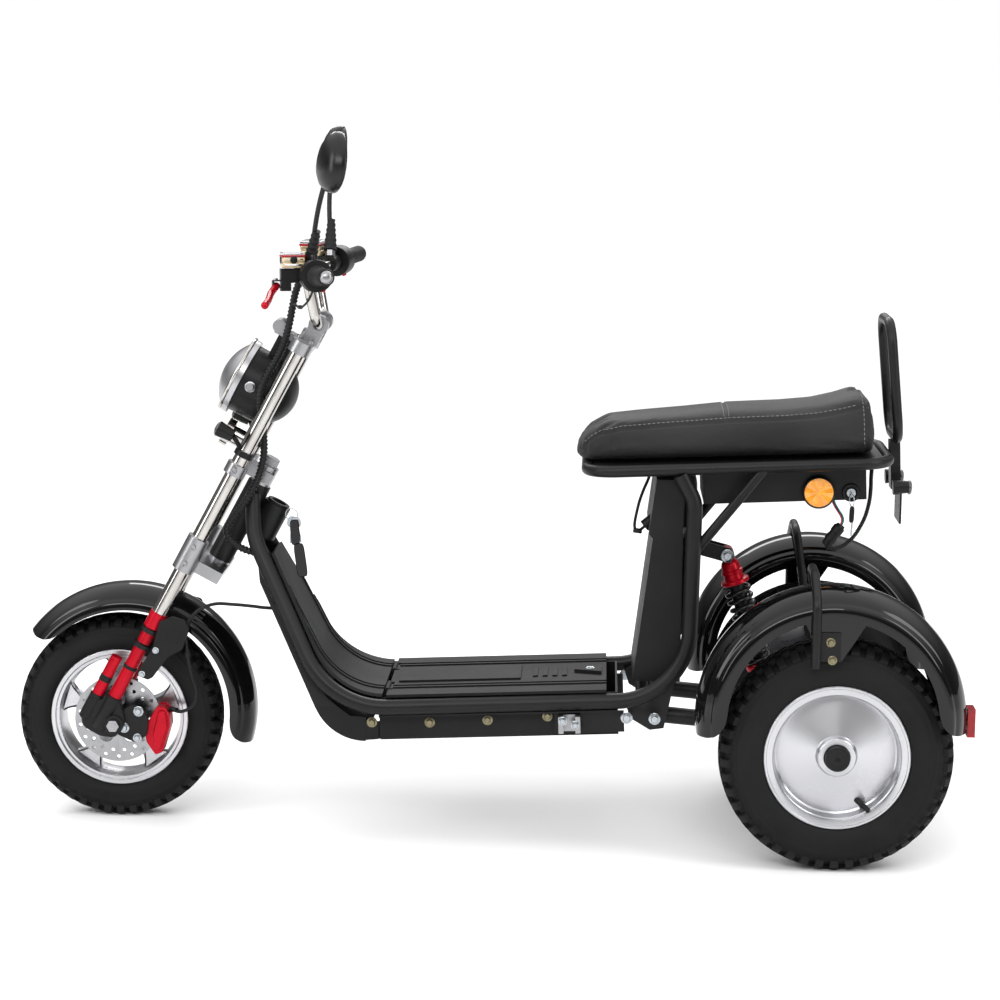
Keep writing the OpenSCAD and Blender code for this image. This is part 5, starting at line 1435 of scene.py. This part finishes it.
def studio_world():
    """A white surround to the camera; to all else a bright ceiling that fades to a dim horizon."""
    world = bpy.data.worlds.new("studio")
    world.use_nodes = True
    nodes, links = world.node_tree.nodes, world.node_tree.links
    ceiling = nodes["Background"]
    ceiling.inputs["Color"].default_value = (1, 1, 1, 1)
    split = nodes.new("ShaderNodeSeparateXYZ")
    links.new(nodes.new("ShaderNodeTexCoord").outputs["Generated"], split.inputs["Vector"])
    fade = nodes.new("ShaderNodeMapRange")
    fade.interpolation_type = "SMOOTHSTEP"
    for socket, value in (("From Min", 0.2), ("From Max", 0.85), ("To Min", 0.14), ("To Max", 1.62)):
        fade.inputs[socket].default_value = value
    links.new(split.outputs["Z"], fade.inputs["Value"])
    links.new(fade.outputs["Result"], ceiling.inputs["Strength"])
    white = nodes.new("ShaderNodeBackground")
    white.inputs["Color"].default_value = (1, 1, 1, 1)
    white.inputs["Strength"].default_value = 1.0
    either = nodes.new("ShaderNodeMixShader")
    links.new(nodes.new("ShaderNodeLightPath").outputs["Is Camera Ray"], either.inputs["Fac"])
    links.new(ceiling.outputs["Background"], either.inputs[1])
    links.new(white.outputs["Background"], either.inputs[2])
    links.new(either.outputs["Shader"], nodes["World Output"].inputs["Surface"])
    return world


# Softboxes: [place, aim, width, height, watts]
SOFTBOXES = (
    ((0.5, 3.6, 3.0), (0, 0, 0.5), 3.6, 1.0, 70),
    ((2.9, 1.8, 2.0), (0.2, 0, 0.6), 1.0, 2.2, 36),
    ((-3.0, 1.6, 2.0), (-0.3, 0, 0.6), 1.0, 2.2, 36),
    ((0.0, -3.4, 3.0), (0, 0, 0.6), 3.0, 1.0, 60),
)
FLOOR_REACH = 80.0
CAMERA_PLACE = (-0.2310, 5.3923, 1.5411)
CAMERA_TURNS = (2.16, 9.12, 0.53)
CAMERA_LENS = 95.75


class SCOOTER_OT_stage(bpy.types.Operator):
    """Adds the floor, the soft studio lights and the camera at the photograph's angle."""

    bl_idname = "scooter.stage"
    bl_label = "Stage"

    def execute(self, context):
        scene = bpy.context.scene
        pale = tuple(scene.scooter_colours.floor)
        corners = [(x * FLOOR_REACH, y * FLOOR_REACH, 0) for x, y in ((-1, -1), (1, -1), (1, 1), (-1, 1))]
        floor_mesh = bpy.data.meshes.new("floor")
        floor_mesh.from_pydata(corners, [], [(0, 1, 2, 3)])
        floor = bpy.data.objects.new("floor", floor_mesh)
        bpy.context.collection.objects.link(floor)
        floor_mesh.materials.append(finish("pale floor", pale, pale, (0.8, 0.82), patch=1.0, specular=0.0))
        scene.world = studio_world()
        scene.view_settings.view_transform = "Standard"

        for place, aim, width, height, watts in SOFTBOXES:
            lamp = bpy.data.lights.new("softbox", "AREA")
            lamp.shape = "RECTANGLE"
            lamp.size, lamp.size_y, lamp.energy = width, height, watts
            softbox = bpy.data.objects.new("softbox", lamp)
            turn = (Vector(aim) - Vector(place)).to_track_quat("-Z", "Y").to_matrix().to_4x4()
            softbox.matrix_world = Matrix.Translation(place) @ turn
            bpy.context.collection.objects.link(softbox)

        camera_data = bpy.data.cameras.new("camera")
        camera_data.sensor_width = 36.0
        camera_data.lens = CAMERA_LENS
        camera_data.clip_end = 300.0
        camera = bpy.data.objects.new("camera", camera_data)
        yaw, pitch, roll = (math.radians(angle) for angle in CAMERA_TURNS)
        level = math.cos(pitch)
        ahead = Vector((math.sin(yaw) * level, -math.cos(yaw) * level, -math.sin(pitch)))
        right = Vector((-math.cos(yaw), -math.sin(yaw), 0))
        above = right.cross(ahead)
        right, above = (
            math.cos(roll) * right + math.sin(roll) * above,
            -math.sin(roll) * right + math.cos(roll) * above,
        )
        turn = Matrix((right, above, -ahead)).transposed().to_4x4()
        camera.matrix_world = Matrix.Translation(CAMERA_PLACE) @ turn
        bpy.context.collection.objects.link(camera)
        scene.camera = camera
        return {"FINISHED"}


class SCOOTER_OT_finishes(bpy.types.Operator):
    """Gives each solid its finish."""

    bl_idname = "scooter.finishes"
    bl_label = "Finishes"

    def execute(self, context):
        for material, names in NODE_FINISHES.items():
            for name in names:
                mesh = frame["nodes"][name].data
                mesh.materials.clear()
                mesh.materials.append(look(material))
        return {"FINISHED"}


OPERATORS = (
    SCOOTER_OT_stage, SCOOTER_OT_finishes, SCOOTER_OT_tyres, SCOOTER_OT_front_rim, SCOOTER_OT_rear_rims,
    SCOOTER_OT_fenders, SCOOTER_OT_fork_fittings, SCOOTER_OT_shock, SCOOTER_OT_seat, SCOOTER_OT_cords,
    SCOOTER_OT_cockpit, SCOOTER_OT_mirrors, SCOOTER_OT_lamps, SCOOTER_OT_keys, SCOOTER_OT_fasteners,
)


class SCOOTER_PT_panel(bpy.types.Panel):
    """Lists the scooter's pieces in the sidebar."""

    bl_idname = "SCOOTER_PT_panel"
    bl_label = "Scooter"
    bl_space_type = "VIEW_3D"
    bl_region_type = "UI"
    bl_category = "Scooter"

    def draw(self, context):
        for operator in OPERATORS:
            self.layout.operator(operator.bl_idname)
        for group in (context.scene.scooter_sizes, context.scene.scooter_colours):
            for name in group.__annotations__:
                self.layout.prop(group, name)


CLASSES = (ScooterSizes, ScooterColours) + OPERATORS + (SCOOTER_PT_panel,)


def register():
    for cls in CLASSES:
        bpy.utils.register_class(cls)
    bpy.types.Scene.scooter_sizes = PointerProperty(type=ScooterSizes)
    bpy.types.Scene.scooter_colours = PointerProperty(type=ScooterColours)


def unregister():
    del bpy.types.Scene.scooter_colours
    del bpy.types.Scene.scooter_sizes
    for cls in reversed(CLASSES):
        bpy.utils.unregister_class(cls)


def main():
    register()
    for operator in OPERATORS:
        group, name = operator.bl_idname.split(".")
        getattr(getattr(bpy.ops, group), name)()


if __name__ == "__main__":
    main()
